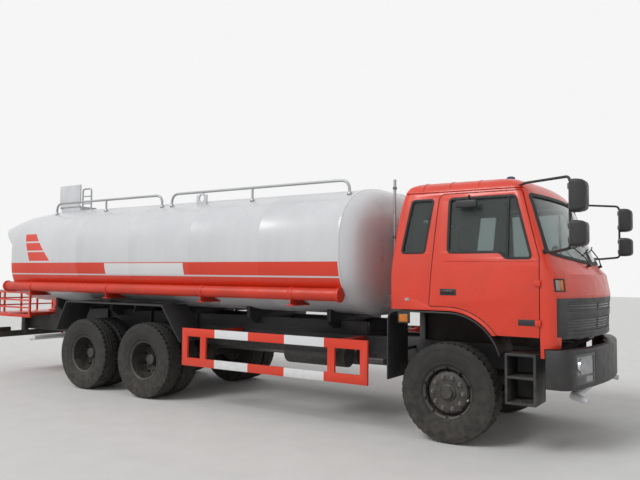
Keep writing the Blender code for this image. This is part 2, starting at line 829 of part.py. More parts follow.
def cab_supports(side):
    """The post under the cab's rear and the two ears that hold a tilt pin, on one rail."""
    y, half = side * TILT_PIN_Y, CAB_REST_HALF_SIZE
    sunk = FRAME_TOP_Z - FRAME_PLATE / 2
    pieces = [block((CAB_REST_X - half, CAB_REST_X + half), (y - half, y + half),
                    (sunk, SIDE_BOTTOM_Z - FIT))]
    tip, foot = TILT_EAR_REACH, FRAME_FRONT_X - TILT_EAR_REACH
    outline = [(foot - TILT_EAR_FOOT, sunk), (foot, sunk), (TILT_X + tip, TILT_Z - tip),
               (TILT_X + tip, TILT_Z + tip / 2), (TILT_X - 2 * tip, TILT_Z + tip / 2)]
    near = TILT_PIN_HALF_LENGTH + FIT
    for low, high in ((near, near + TILT_EAR_THICKNESS), (-near - TILT_EAR_THICKNESS, -near)):
        pieces.append(prism(outline, "Y", (y + low, y + high)))
    return pieces


def front_axle():
    """A dropped beam with a boss at each kingpin and a leaf spring to each side."""
    end = KINGPIN_Y - BOSS_RADIUS / 2
    seat = SPRING_Y + 2 * SPRING_HALF_WIDTH
    mid, low = AXLE_Z, AXLE_Z - BEAM_DROP
    top, bottom = BEAM_HALF_HEIGHT, -BEAM_HALF_HEIGHT
    neck, under = KINGPIN_Y - 2 * BOSS_RADIUS, mid + bottom - FRAME_PLATE / 4
    outline = [(-end, mid + bottom), (-neck, under), (-seat, low + bottom), (seat, low + bottom),
               (neck, under), (end, mid + bottom), (end, mid + top), (seat, low + top),
               (-seat, low + top), (-end, mid + top)]
    pieces = []
    spring_low = low + BEAM_HALF_HEIGHT - FRAME_PLATE
    eye = FRAME_BOTTOM_Z - FRAME_PLATE - FIT
    for side in (-1, 1):
        pieces.append(rod((0, side * KINGPIN_Y, AXLE_Z - BOSS_HALF_HEIGHT),
                          (0, side * KINGPIN_Y, AXLE_Z + BOSS_HALF_HEIGHT), BOSS_RADIUS))
        reach = SPRING_HALF_SPAN
        third = reach / 2
        leaf = [(-reach, eye - SPRING_THICKNESS / 2), (-third, spring_low + SPRING_RISE / 2),
                (0, spring_low), (third, spring_low + SPRING_RISE / 2),
                (reach, eye - SPRING_THICKNESS / 2), (reach, eye),
                (third, spring_low + SPRING_THICKNESS + SPRING_RISE / 2),
                (0, spring_low + 2 * SPRING_THICKNESS),
                (-third, spring_low + SPRING_THICKNESS + SPRING_RISE / 2), (-reach, eye)]
        pieces.append(prism(leaf, "Y", (side * SPRING_Y - SPRING_HALF_WIDTH,
                                        side * SPRING_Y + SPRING_HALF_WIDTH)))
    return unite(prism(outline, "X", (-BEAM_HALF_LENGTH, BEAM_HALF_LENGTH)), *pieces)


def knuckle():
    """The right-hand knuckle: two ears on the kingpin boss, a plate and the spindle's flange."""
    y = -KINGPIN_Y
    high = AXLE_Z + BOSS_HALF_HEIGHT + FIT
    low = AXLE_Z - BOSS_HALF_HEIGHT - FIT
    plate_in = y - BOSS_RADIUS - FIT
    hub_back = -(FRONT_WHEEL_Y - HUB_BACK) + FIT
    upper = rod((0, y, high), (0, y, high + EAR_THICKNESS), BOSS_RADIUS)
    lower = rod((0, y, low - EAR_THICKNESS), (0, y, low), BOSS_RADIUS)
    cheek_high = block((-BOSS_RADIUS, BOSS_RADIUS), (plate_in - KNUCKLE_PLATE, y),
                       (high, high + EAR_THICKNESS))
    cheek_low = block((-BOSS_RADIUS, BOSS_RADIUS), (plate_in - KNUCKLE_PLATE, y),
                      (low - EAR_THICKNESS, low))
    plate = block((-BOSS_RADIUS, BOSS_RADIUS), (plate_in - KNUCKLE_PLATE, plate_in),
                  (low - EAR_THICKNESS, high + EAR_THICKNESS))
    flange = rod((0, plate_in - KNUCKLE_PLATE / 2, AXLE_Z), (0, hub_back, AXLE_Z),
                 SPINDLE_RADIUS, HOUSING_SIDES)
    return unite(plate, upper, lower, cheek_high, cheek_low, flange)


def tyre_half(centre, side):
    """One side of a tyre from its bulge to its tread, as (radius, distance out)."""
    return [(BULGE_RADIUS, centre + side * TYRE_HALF_WIDTH),
            (TYRE_RADIUS - SHOULDER_DROP, centre + side * SHOULDER_HALF_WIDTH),
            (TYRE_RADIUS, centre + side * TREAD_HALF_WIDTH)]


def front_tyre(centre, outward):
    """A single tyre that sits on the rim between its flanges."""
    outer = [(BEAD_RADIUS, BEAD_HALF_WIDTH), (FLANGE_RADIUS + FIT, BEAD_HALF_WIDTH)]
    outer += tyre_half(0, 1)
    inner = [(radius, -out) for radius, out in reversed(outer)]
    return turned(outer + inner, centre, outward)


def front_rim(centre, outward):
    """A rim whose disc stands out to the studs, with its hub."""
    barrel = BEAD_RADIUS - RIM_THICKNESS
    flange_in = BEAD_HALF_WIDTH + FIT
    flange_out = BEAD_HALF_WIDTH + FLANGE_THICKNESS
    profile = [(0, HUB_OUT), (HUB_RADIUS * 0.75, HUB_OUT), (HUB_RADIUS, STUD_FACE_OUT),
               (STUD_FACE_RADIUS, STUD_FACE_OUT), (barrel, STUD_FACE_OUT / 4),
               (barrel, flange_out), (FLANGE_RADIUS, flange_out), (FLANGE_RADIUS, flange_in),
               (BEAD_RADIUS - FIT, flange_in), (BEAD_RADIUS - FIT, -flange_in),
               (FLANGE_RADIUS, -flange_in), (FLANGE_RADIUS, -flange_out), (barrel, -flange_out),
               (barrel, -DISC_THICKNESS), (STUD_FACE_RADIUS, STUD_FACE_OUT - DISC_THICKNESS),
               (HUB_RADIUS, STUD_FACE_OUT - DISC_THICKNESS), (HUB_RADIUS, -HUB_BACK),
               (0, -HUB_BACK)]
    return turned(profile, centre, outward)


def twin_wheel(centre, outward):
    """Two tyres on deep rims, with the hub, the disc between them and the brake drum."""
    half = TWIN_SPACING / 2
    barrel = BEAD_RADIUS - RIM_THICKNESS
    flange = half + BEAD_HALF_WIDTH + FLANGE_THICKNESS
    hub = [(0, TWIN_HUB_OUT), (TWIN_HUB_RADIUS, TWIN_HUB_OUT), (TWIN_HUB_RADIUS, DISC_THICKNESS),
           (STUD_FACE_RADIUS, DISC_THICKNESS), (barrel, DISC_THICKNESS * 3)]
    outer = [(barrel, flange - DISC_THICKNESS), (FLANGE_RADIUS, flange)]
    outer += tyre_half(half, 1) + tyre_half(half, -1)[::-1]
    outer.append((BEAD_RADIUS, half - BEAD_HALF_WIDTH))
    inner = [(radius, -out) for radius, out in reversed(outer)]
    back = [(barrel, -DISC_THICKNESS), (DRUM_RADIUS, -DISC_THICKNESS), (DRUM_RADIUS, -TWIN_BACK),
            (0, -TWIN_BACK)]
    return turned(hub + outer + inner + back, centre, outward)


def axle_housing(x, through=False):
    """A banjo housing with spring pads, a pinion nose and a flange behind each hub."""
    end = TWIN_WHEEL_Y - TWIN_BACK - FIT
    body = [(0, end), (FLANGE_HUB_RADIUS, end), (FLANGE_HUB_RADIUS, end - FLANGE_HUB_LENGTH),
            (HOUSING_RADIUS, end - FLANGE_HUB_LENGTH),
            (HOUSING_RADIUS, BANJO_HALF_WIDTH + BANJO_SLOPE), (BANJO_RADIUS, BANJO_HALF_WIDTH)]
    profile = body + [(radius, -out) for radius, out in reversed(body)]
    housing = turned(profile, (x, 0, AXLE_Z), 1, HOUSING_SIDES)
    nose_z = AXLE_Z + THROUGH_RISE
    pieces = [rod((x, 0, nose_z), (x + NOSE_LENGTH, 0, nose_z), NOSE_RADIUS * 1.5, 12, NOSE_RADIUS)]
    if through:
        pieces.append(rod((x - BANJO_RADIUS, 0, nose_z), (x, 0, nose_z), NOSE_RADIUS, 12))
    for side in (-1, 1):
        y = side * PACK_Y
        pieces.append(block((x - HOUSING_RADIUS, x + HOUSING_RADIUS),
                            (y - PACK_HALF_WIDTH, y + PACK_HALF_WIDTH), (AXLE_Z, PAD_TOP_Z)))
    return unite(housing, *pieces)


def bogie():
    """The trunnion tube and, on each side, the leaf pack that rests on both axles."""
    saddle_top = FRAME_BOTTOM_Z - BRACKET_DROP - FIT
    end, low = BOGIE_SPACING / 2 + HOUSING_RADIUS, PAD_TOP_Z + FIT
    foot = end - HOUSING_RADIUS * 2
    waist = BRACKET_HALF_LENGTH
    right = [(foot, low), (end, low + FRAME_PLATE / 4), (end, low + PACK_END_THICKNESS),
             (waist, TRUNNION_Z + PACK_MID_THICKNESS)]
    under = [(-waist, TRUNNION_Z), (waist, TRUNNION_Z)]
    outline = under + right + [(-x, z) for x, z in reversed(right)]
    outline = [(TRUNNION_X + x, z) for x, z in outline]
    pieces = []
    for side in (-1, 1):
        y = side * PACK_Y
        pieces.append(prism(outline, "Y", (y - PACK_HALF_WIDTH, y + PACK_HALF_WIDTH)))
        web = side * (FRAME_HALF_WIDTH - FRAME_FLANGE / 2)
        pieces.append(block((TRUNNION_X - waist / 3, TRUNNION_X + waist / 3),
                            (web - PACK_HALF_WIDTH, web + PACK_HALF_WIDTH),
                            (TRUNNION_Z, saddle_top)))
    return unite(rod((TRUNNION_X, -TRUNNION_HALF_LENGTH, TRUNNION_Z),
                     (TRUNNION_X, TRUNNION_HALF_LENGTH, TRUNNION_Z), TRUNNION_RADIUS), *pieces)


def engine():
    """The engine and gearbox as plain blocks, with the mounts that reach the rails."""
    pieces = [block((GEARBOX_REAR_X, ENGINE_REAR_X), (-GEARBOX_HALF_WIDTH, GEARBOX_HALF_WIDTH),
                    (ENGINE_BOTTOM_Z + FRAME_PLATE, GEARBOX_TOP_Z))]
    web = FRAME_HALF_WIDTH - FRAME_PLATE - FIT
    z = FRAME_TOP_Z - FRAME_DEPTH / 2
    for side in (-1, 1):
        pieces.append(block((MOUNT_X - MOUNT_HALF_SIZE, MOUNT_X + MOUNT_HALF_SIZE), (0, side * web),
                            (z - MOUNT_HALF_SIZE, z + MOUNT_HALF_SIZE)))
    nose = ENGINE_HALF_WIDTH - FRAME_PLATE
    pieces.append(block((ENGINE_STEP_X - MOUNT_HALF_SIZE, ENGINE_FRONT_X), (-nose, nose),
                        (ENGINE_BOTTOM_Z + FRAME_PLATE, ENGINE_NOSE_TOP_Z)))
    return unite(block((ENGINE_REAR_X - FRAME_PLATE, ENGINE_STEP_X),
                       (-ENGINE_HALF_WIDTH, ENGINE_HALF_WIDTH),
                       (ENGINE_BOTTOM_Z, ENGINE_TOP_Z)), *pieces)


def tank_ring(x, scale, top, half_width, power, inset=0.0):
    """One cross section of the tank, an oval between a circle and a rectangle."""
    middle = (TANK_BOTTOM_Z + top) / 2
    wide = half_width * scale - inset
    high = (top - TANK_BOTTOM_Z) / 2 * scale - inset
    ring = []
    for i in range(TANK_SECTION_SIDES):
        angle = 2 * math.pi * i / TANK_SECTION_SIDES
        c, s = math.cos(angle), math.sin(angle)
        ring.append((x, wide * math.copysign(abs(c) ** (2 / power), c),
                     middle + high * math.copysign(abs(s) ** (2 / power), s)))
    return ring


def tank_body(grow=0.0):
    """The barrel from its dished head to the hood that overhangs its rear head."""
    rings = [tank_ring(TANK_RIM_X + grow + TANK_DOME * out, share, TANK_TOP_Z, TANK_HALF_WIDTH,
                       TANK_POWER, -grow) for out, share in DOME_SHARES]
    rings += [tank_ring(x, 1.0, top, width, power, -grow) for x, top, width, power in (
        (TANK_RIM_X, TANK_TOP_Z, TANK_HALF_WIDTH, TANK_POWER),
        (TAIL_START_X, TANK_TOP_Z, TANK_HALF_WIDTH, TANK_POWER),
        (TANK_SIDE_REAR_X, TAIL_MID_TOP_Z, TANK_HALF_WIDTH, TAIL_MID_POWER),
        (TAIL_END_X, TAIL_END_TOP_Z, TAIL_END_HALF_WIDTH, TAIL_END_POWER))]
    return loft(rings)


def tank_rim(grow=0.0):
    """The band where the dished head meets the barrel."""
    return loft([tank_ring(x, 1.0, TANK_TOP_Z, TANK_HALF_WIDTH, TANK_POWER, -RIM_STAND - grow)
                 for x in (TANK_RIM_X + grow, TANK_RIM_X - RIM_WIDTH - grow)])


def tail_cutters():
    """What is cut away under the hood's lip, and the hollow behind the rear head."""
    past = TAIL_END_X - OVERRUN
    wide = TANK_HALF_WIDTH + OVERRUN
    low = TANK_BOTTOM_Z - OVERRUN
    under = [(past, low), (TANK_SIDE_REAR_X, low), (TANK_SIDE_REAR_X, TAIL_CUT_Z),
             (TAIL_END_X, TAIL_LIP_Z), (past, TAIL_LIP_Z)]
    mid_share = (TANK_SIDE_REAR_X - TAIL_HEAD_X) / (TANK_SIDE_REAR_X - TAIL_START_X)
    head_top = TAIL_MID_TOP_Z + (TANK_TOP_Z - TAIL_MID_TOP_Z) * mid_share
    hollow = loft([tank_ring(x, 1.0, top, width, power, TAIL_WALL) for x, top, width, power in (
        (TAIL_HEAD_X, head_top, TANK_HALF_WIDTH, HEAD_POWER),
        (TANK_SIDE_REAR_X, TAIL_MID_TOP_Z, TANK_HALF_WIDTH, TAIL_MID_POWER),
        (TAIL_END_X, TAIL_END_TOP_Z, TAIL_END_HALF_WIDTH, TAIL_END_POWER),
        (past, TAIL_END_TOP_Z, TAIL_END_HALF_WIDTH, TAIL_END_POWER))])
    return prism(under, "Y", (-wide, wide)), hollow


def top_rail(x0, x1, side):
    """A rail with rounded ends that stands on the tank, with a middle post."""
    y, low = side * RAIL_Y, RAIL_TOP_Z - RAIL_END_DROP
    bend = RAIL_BEND
    cut_in = bend * RAIL_CORNER_SHARE
    path = [(x0, y, low), (x0, y, RAIL_TOP_Z - bend), (x0 - cut_in, y, RAIL_TOP_Z - cut_in),
            (x0 - bend, y, RAIL_TOP_Z), (x1 + bend, y, RAIL_TOP_Z),
            (x1 + cut_in, y, RAIL_TOP_Z - cut_in), (x1, y, RAIL_TOP_Z - bend), (x1, y, low)]
    middle = (x0 + x1) / 2
    post = rod((middle, y, low), (middle, y, RAIL_TOP_Z), RAIL_RADIUS * 0.9, 8)
    return unite(tube(path, RAIL_RADIUS), post)


def tank():
    """The tank with what is welded to it: rim, rails, lugs, hatch neck, hoop and sight tube."""
    under, hollow = tail_cutters()
    body = cut(unite(tank_body(), tank_rim()), under, hollow)
    pieces = []
    for side in (-1, 1):
        pieces.append(top_rail(FRONT_RAIL_START_X, FRONT_RAIL_END_X, side))
        pieces.append(top_rail(REAR_RAIL_START_X, REAR_RAIL_END_X, side))
        y = side * RAIL_Y
        lug = block((LUG_X - LUG_HALF_LENGTH, LUG_X + LUG_HALF_LENGTH),
                    (y - LUG_HALF_THICKNESS, y + LUG_HALF_THICKNESS),
                    (LUG_TOP_Z - RAIL_END_DROP, LUG_TOP_Z))
        eye_z = LUG_TOP_Z - LUG_HOLE_RADIUS * 1.8
        lug = cut(lug, rod((LUG_X, y - OVERRUN, eye_z), (LUG_X, y + OVERRUN, eye_z),
                           LUG_HOLE_RADIUS))
        pieces.append(lug)
    low = HATCH_RIM_Z - HATCH_DEPTH
    neck = block((HATCH_REAR_X, HATCH_FRONT_X), (HATCH_RIGHT_Y, HATCH_LEFT_Y), (low, HATCH_RIM_Z))
    pieces.append(neck)
    for x, out in ((HATCH_REAR_X + LID_OVERHANG - FIT, -1), (HATCH_FRONT_X - LID_OVERHANG + FIT, 1)):
        pieces.append(block((x, x + out * LUG_PLATE),
                            (lid_hinge_y() - LID_HINGE_RADIUS, HATCH_RIGHT_Y + HATCH_WALL / 4),
                            (HATCH_RIM_Z - HATCH_WALL, lid_hinge_z() + LID_HINGE_RADIUS)))
    hoop = tube([(HOOP_REAR_X, HOOP_Y, low), (HOOP_REAR_X, HOOP_Y, HOOP_TOP_Z),
                 (HOOP_FRONT_X, HOOP_Y, HOOP_TOP_Z), (HOOP_FRONT_X, HOOP_Y, low)], HOOP_RADIUS)
    pieces.append(hoop)
    foot = SIGHT_TUBE_X - TANK_DOME / 2
    pieces.append(tube([(foot, SIGHT_TUBE_Y, SIGHT_TUBE_BOTTOM_Z),
                        (SIGHT_TUBE_X, SIGHT_TUBE_Y, SIGHT_TUBE_BOTTOM_Z),
                        (SIGHT_TUBE_X, SIGHT_TUBE_Y, SIGHT_TUBE_TOP_Z)], SIGHT_TUBE_RADIUS))
    body = unite(body, *pieces)
    wall = HATCH_WALL
    well = block((HATCH_REAR_X + wall, HATCH_FRONT_X - wall),
                 (HATCH_RIGHT_Y + wall, HATCH_LEFT_Y - wall),
                 (HATCH_RIM_Z - HATCH_WELL_DEPTH, HATCH_RIM_Z + OVERRUN))
    return cut(body, well)


def lid_hinge_y():
    """Where the lid's hinge runs, beside the right-hand edge of the neck."""
    return HATCH_RIGHT_Y - LID_OVERHANG


def lid_hinge_z():
    """The level of the lid's hinge, over the neck's rim."""
    return HATCH_RIM_Z + LID_LIFT


def hatch_lid():
    """The hatch lid, standing open on the hinge along the right-hand edge of the neck."""
    y, z, out = lid_hinge_y(), lid_hinge_z(), LID_OVERHANG
    leaf = block((HATCH_REAR_X + out * 2, HATCH_FRONT_X - out * 2),
                 (y - LID_THICKNESS / 2, y + LID_THICKNESS / 2), (z, z + LID_HEIGHT))
    wide = block((HATCH_REAR_X - out, HATCH_FRONT_X + out),
                 (y - LID_THICKNESS / 2, y + LID_THICKNESS / 2),
                 (z + LID_HINGE_RADIUS + LID_CLEARANCE, z + LID_HEIGHT))
    pin = rod((HATCH_REAR_X + out, y, z), (HATCH_FRONT_X - out, y, z), LID_HINGE_RADIUS - FIT)
    return unite(wide, leaf, pin)


def cradle():
    """Two sills on the frame and the saddles that the tank lies in."""
    pieces = []
    y = FRAME_HALF_WIDTH - SILL_HALF_WIDTH
    sill = (FRAME_TOP_Z + FIT, SILL_TOP_Z)
    front = TANK_RIM_X - RIM_WIDTH
    for share in SADDLE_SHARES:
        x = front + (SILL_REAR_X - front) * share
        pieces.append(block((x - SADDLE_HALF_LENGTH, x + SADDLE_HALF_LENGTH),
                            (-SADDLE_HALF_WIDTH, SADDLE_HALF_WIDTH),
                            (SADDLE_BOTTOM_Z, SADDLE_TOP_Z)))
    pieces.append(block((SILL_REAR_X, front), (y - SILL_HALF_WIDTH, y + SILL_HALF_WIDTH), sill))
    body = unite(block((SILL_REAR_X, front), (-y - SILL_HALF_WIDTH, -y + SILL_HALF_WIDTH), sill),
                 *pieces)
    corner = SADDLE_HALF_WIDTH - FRAME_HALF_WIDTH
    wedge = [(FRAME_HALF_WIDTH + SILL_HALF_WIDTH, SADDLE_BOTTOM_Z - OVERRUN),
             (SADDLE_HALF_WIDTH + OVERRUN, SADDLE_BOTTOM_Z - OVERRUN),
             (SADDLE_HALF_WIDTH + OVERRUN, SADDLE_BOTTOM_Z + corner / 2)]
    wedges = [prism([(side * a, b) for a, b in wedge], "X", (SILL_REAR_X, front))
              for side in (-1, 1)]
    return cut(body, tank_body(FIT), *wedges)


def hose_tube():
    """The right-hand hose tube, with its end disc and the clamps that hold it to the tank."""
    y = -HOSE_Y
    pieces = [rod((HOSE_FRONT_X - HOSE_DISC_LENGTH, y, HOSE_Z), (HOSE_FRONT_X, y, HOSE_Z),
                  HOSE_DISC_RADIUS, 16)]
    for share in CLAMP_SHARES:
        x = HOSE_REAR_X + (HOSE_FRONT_X - HOSE_REAR_X) * share
        pieces.append(block((x - CLAMP_HALF_LENGTH, x + CLAMP_HALF_LENGTH),
                            (y - HOSE_RADIUS / 2, y + HOSE_RADIUS / 2), (CLAMP_BOTTOM_Z, HOSE_Z)))
        pieces.append(block((x - CLAMP_HALF_LENGTH / 2, x + CLAMP_HALF_LENGTH / 2),
                            (y, -TANK_HALF_WIDTH * 0.8), (HOSE_Z - CLAMP_HALF_LENGTH, HOSE_Z)))
    body = unite(rod((HOSE_REAR_X, y, HOSE_Z), (HOSE_FRONT_X - FIT, y, HOSE_Z), HOSE_RADIUS, 16),
                 *pieces)
    return cut(body, tank_body(FIT), tank_rim(FIT))


def side_guard():
    """The right-hand side guard with the arms that carry it on the frame rail."""
    back = -(GUARD_OUT_Y - GUARD_THICKNESS)
    half, arm = GUARD_POST_WIDTH / 2, GUARD_ARM_HALF_SIZE
    inner = [GUARD_REAR_X + (GUARD_FRONT_X - GUARD_REAR_X) * share for share in GUARD_POST_SHARES]
    posts = [GUARD_REAR_X + half, *inner, GUARD_FRONT_X - half]
    windows = [block((x + half, next_x - half), (-GUARD_OUT_Y - OVERRUN, back + OVERRUN),
                     (GUARD_BOTTOM_Z + GUARD_RAIL_HEIGHT, GUARD_TOP_Z - GUARD_RAIL_HEIGHT))
               for x, next_x in zip(posts, posts[1:])]
    guard = cut(block((GUARD_REAR_X, GUARD_FRONT_X), (-GUARD_OUT_Y, back),
                      (GUARD_BOTTOM_Z, GUARD_TOP_Z)), *windows)
    arms = [block((x - arm, x + arm), (back - GUARD_THICKNESS / 2, -FRAME_HALF_WIDTH - FIT),
                  (GUARD_ARM_Z - arm, GUARD_ARM_Z + arm)) for x in inner]
    return unite(guard, *arms)


def tandem_mudguard():
    """The right-hand folded plate over the twin wheels, with its arms."""
    t, arm = MUD_PLATE, MUD_ARM_HALF_SIZE
    top = [(MUD_REAR_X, MUD_REAR_Z), (MUD_TOP_REAR_X, MUD_TOP_Z), (MUD_TOP_FRONT_X, MUD_TOP_Z),
           (MUD_FRONT_X, MUD_FRONT_Z)]
    under = [(MUD_FRONT_X - t, MUD_FRONT_Z), (MUD_TOP_FRONT_X - t / 2, MUD_TOP_Z - t),
             (MUD_TOP_REAR_X + t / 2, MUD_TOP_Z - t), (MUD_REAR_X + t, MUD_REAR_Z)]
    plate = prism(top + under, "Y", (-GUARD_OUT_Y, -MUD_IN_Y))
    web = -FRAME_HALF_WIDTH - FIT
    low = FRAME_TOP_Z - CROSS_DEPTH / 2
    pieces = []
    for x in (MUD_TOP_FRONT_X - 3 * arm, TRUNNION_X, MUD_TOP_REAR_X + 3 * arm):
        ends = (x - arm, x + arm)
        pieces.append(block(ends, (web - 2 * arm, web), (low, MUD_ARM_Z)))
        pieces.append(block(ends, (-MUD_IN_Y - 4 * arm, web - arm),
                            (MUD_ARM_Z - 2 * arm, MUD_ARM_Z - arm / 4)))
        pieces.append(block((x - arm * 0.8, x + arm * 0.8), (-MUD_IN_Y - 3 * arm, -MUD_IN_Y - arm),
                            (MUD_ARM_Z - arm, MUD_TOP_Z - t / 2)))
    return unite(plate, *pieces)


def platform():
    """The work platform: floor, side strips, railing and ladder, all welded together."""
    s, bar, wide, rear = RAILING_SIZE, RAILING_BAR_SIZE, FLOOR_HALF_WIDTH, FLOOR_REAR_X
    low, top = FRAME_TOP_Z + FIT, FLOOR_TOP_Z
    foot = (low + top) / 2
    head = RAILING_TOP_Z - bar / 2
    levels = [top + (RAILING_TOP_Z - top) * (i + 1) / RAILING_BAR_COUNT
              for i in range(RAILING_BAR_COUNT)]
    pieces = []
    for side in (-1, 1):
        y = side * (wide - s * 0.75)
        pieces.append(block((FLOOR_FRONT_X - s, SIDE_STRIP_FRONT_X), (y - s / 2, y + s / 2),
                            (low + FIT, top - FIT)))
        for x in (rear + s * 0.75, (rear + FLOOR_FRONT_X) / 2, SIDE_STRIP_FRONT_X - s):
            pieces.append(block((x - s / 2, x + s / 2), (y - s * 0.4, y + s * 0.4), (foot, head)))
        for z in levels:
            pieces.append(block((rear + s / 2, SIDE_STRIP_FRONT_X - s / 4),
                                (y - bar / 2, y + bar / 2), (z - bar, z)))
    x = rear + s * 0.75
    step = (2 * wide - s) / (REAR_BAR_COUNT - 1)
    for i in range(1, REAR_BAR_COUNT - 1):
        y = -wide + s / 2 + i * step
        if abs(y - LADDER_Y) > LADDER_HALF_WIDTH:
            pieces.append(block((x - s * 0.4, x + s * 0.4), (y - s * 0.4, y + s * 0.4),
                                (foot, head)))
    gate = (LADDER_Y - LADDER_HALF_WIDTH, LADDER_Y + LADDER_HALF_WIDTH)
    for z in levels:
        pieces.append(block((x - bar / 3, x + bar / 3), (-wide + s, gate[0]), (z - bar * 0.9, z - FIT)))
        pieces.append(block((x - bar / 3, x + bar / 3), (gate[1], wide - s), (z - bar * 0.9, z - FIT)))
    ladder_x = rear - s / 2
    for y in gate:
        pieces.append(block((x - s / 3, x + s / 3), (y - s / 3, y + s / 3), (foot, RAILING_TOP_Z)))
        pieces.append(block((ladder_x, rear + s / 3), (y - s / 2, y + s / 2),
                            (LADDER_BOTTOM_Z, top - s / 3)))
    for i in range(RUNG_COUNT):
        z = LADDER_BOTTOM_Z + (low - LADDER_BOTTOM_Z) * (i + 0.4) / RUNG_COUNT
        pieces.append(block((LADDER_OUT_X, LADDER_OUT_X + s), gate, (z - bar / 2, z + bar / 2)))
    inset = TREAD_PLATE_INSET
    for side in (-1, 1):
        pieces.append(block((rear + inset, FLOOR_FRONT_X - inset),
                            (side * TREAD_PLATE_IN_Y, side * (wide - inset)),
                            (foot, top + TREAD_PLATE_RISE)))
    floor = block((rear, FLOOR_FRONT_X), (-wide, wide), (low, top))
    return unite(floor, *pieces)


def cannon_pedestal():
    """The riser that brings water to the cannon, on its base flange."""
    base = FLOOR_TOP_Z + FIT
    foot = rod((CANNON_X, 0, base), (CANNON_X, 0, base + PEDESTAL_BASE_HEIGHT),
               PEDESTAL_BASE_RADIUS, 16)
    return unite(foot, rod((CANNON_X, 0, base + PEDESTAL_BASE_HEIGHT / 2),
                           (CANNON_X, 0, PEDESTAL_TOP_Z), PEDESTAL_RADIUS, 16))


def cannon_yoke():
    """The fork that turns on the riser."""
    low = PEDESTAL_TOP_Z + FIT
    top = low + TRUNNION_HEIGHT + YOKE_HALF_LENGTH
    pieces = []
    for side in (-1, 1):
        pieces.append(block((CANNON_X - YOKE_HALF_LENGTH, CANNON_X + YOKE_HALF_LENGTH),
                            (side * (YOKE_HALF_WIDTH - YOKE_PLATE), side * YOKE_HALF_WIDTH),
                            (low + YOKE_PLATE / 2, top)))
    return unite(rod((CANNON_X, 0, low), (CANNON_X, 0, low + YOKE_BASE_HEIGHT),
                     YOKE_HALF_WIDTH + YOKE_PLATE / 2, 16), *pieces)


def cannon_barrel():
    """The barrel, which points to the rear, with a boss that seats between the fork's plates."""
    z = PEDESTAL_TOP_Z + FIT + TRUNNION_HEIGHT
    reach = YOKE_HALF_WIDTH - YOKE_PLATE - FIT
    boss = rod((CANNON_X, -reach, z), (CANNON_X, reach, z), BARREL_BOSS_RADIUS, 16)
    back = CANNON_X + BARREL_BACK
    pipe = rod((back, 0, z), (CANNON_X - BARREL_LENGTH * 0.75, 0, z), BARREL_RADIUS, 16)
    tip = rod((CANNON_X - BARREL_LENGTH * 0.7, 0, z), (CANNON_X - BARREL_LENGTH, 0, z),
              BARREL_RADIUS, 16, BARREL_FLARE)
    return unite(boss, pipe, tip)


def underrun():
    """The rear underrun beam with its hangers and the two lamp boxes."""
    x0, x1 = UNDERRUN_X, UNDERRUN_X + UNDERRUN_THICKNESS
    pieces = []
    for side in (-1, 1):
        y = side * (FRAME_HALF_WIDTH + FIT)
        pieces.append(block((x0 + FRAME_PLATE, x1 + UNDERRUN_THICKNESS),
                            (y, y + side * FRAME_FLANGE),
                            (UNDERRUN_Z + FRAME_PLATE, FRAME_TOP_Z - FRAME_PLATE)))
        middle = side * TAIL_LAMP_Y
        lamp_z = UNDERRUN_Z + UNDERRUN_HEIGHT / 2
        pieces.append(block((x0 - TAIL_LAMP_DEPTH, x1 - FRAME_PLATE),
                            (middle - TAIL_LAMP_HALF_WIDTH, middle + TAIL_LAMP_HALF_WIDTH),
                            (lamp_z, lamp_z + TAIL_LAMP_HEIGHT)))
    return unite(block((x0, x1), (-UNDERRUN_HALF_WIDTH, UNDERRUN_HALF_WIDTH),
                       (UNDERRUN_Z, UNDERRUN_Z + UNDERRUN_HEIGHT)), *pieces)


def front_spray_bar():
    """The white pipe under the bumper with a flat nozzle at each end."""
    w, z, x = FRONT_SPRAY_HALF_WIDTH, FRONT_SPRAY_Z, FRONT_SPRAY_X
    pieces = []
    for side in (-1, 1):
        start = (x - SPRAY_RADIUS / 2, side * w, z)
        end = (x + NOZZLE_LENGTH, side * (w + NOZZLE_TOE), z - SPRAY_RADIUS)
        pieces.append(rod(start, end, SPRAY_RADIUS, 12, SPRAY_RADIUS * 0.7))
        y = side * (FRAME_HALF_WIDTH - FRAME_FLANGE / 2)
        pieces.append(block((x - SPRAY_RADIUS / 2, x + SPRAY_RADIUS / 2),
                            (y - SPRAY_RADIUS / 2, y + SPRAY_RADIUS / 2),
                            (z, bumper_bracket_z() - BUMPER_BRACKET_HALF_WIDTH - FIT)))
    return unite(rod((x, -w, z), (x, w, z), SPRAY_RADIUS), *pieces)


def rear_pipes():
    """The rear spray bar and the pipe that feeds it, hung from the frame."""
    x, z, r = REAR_SPRAY_X, REAR_SPRAY_Z, SPRAY_RADIUS
    wide = REAR_SPRAY_HALF_WIDTH
    pieces = []
    for side in (-1, 1):
        pieces.append(rod((x, side * wide, z), (x - NOZZLE_LENGTH, side * wide, z - r), r, 12, r / 2))
        y = side * (FRAME_HALF_WIDTH - FRAME_FLANGE / 2)
        pieces.append(block((x - r / 2, x + r / 2), (y - r / 2, y + r / 2), (z, FRAME_BOTTOM_Z - FIT)))
    pieces.append(rod((x, 0, z), (x, 0, TANK_BOTTOM_Z + HOUSING_RADIUS), r, 12))
    return cut(unite(rod((x, -wide - r, z), (x, wide + r, z), r), *pieces), tank_body(FIT))


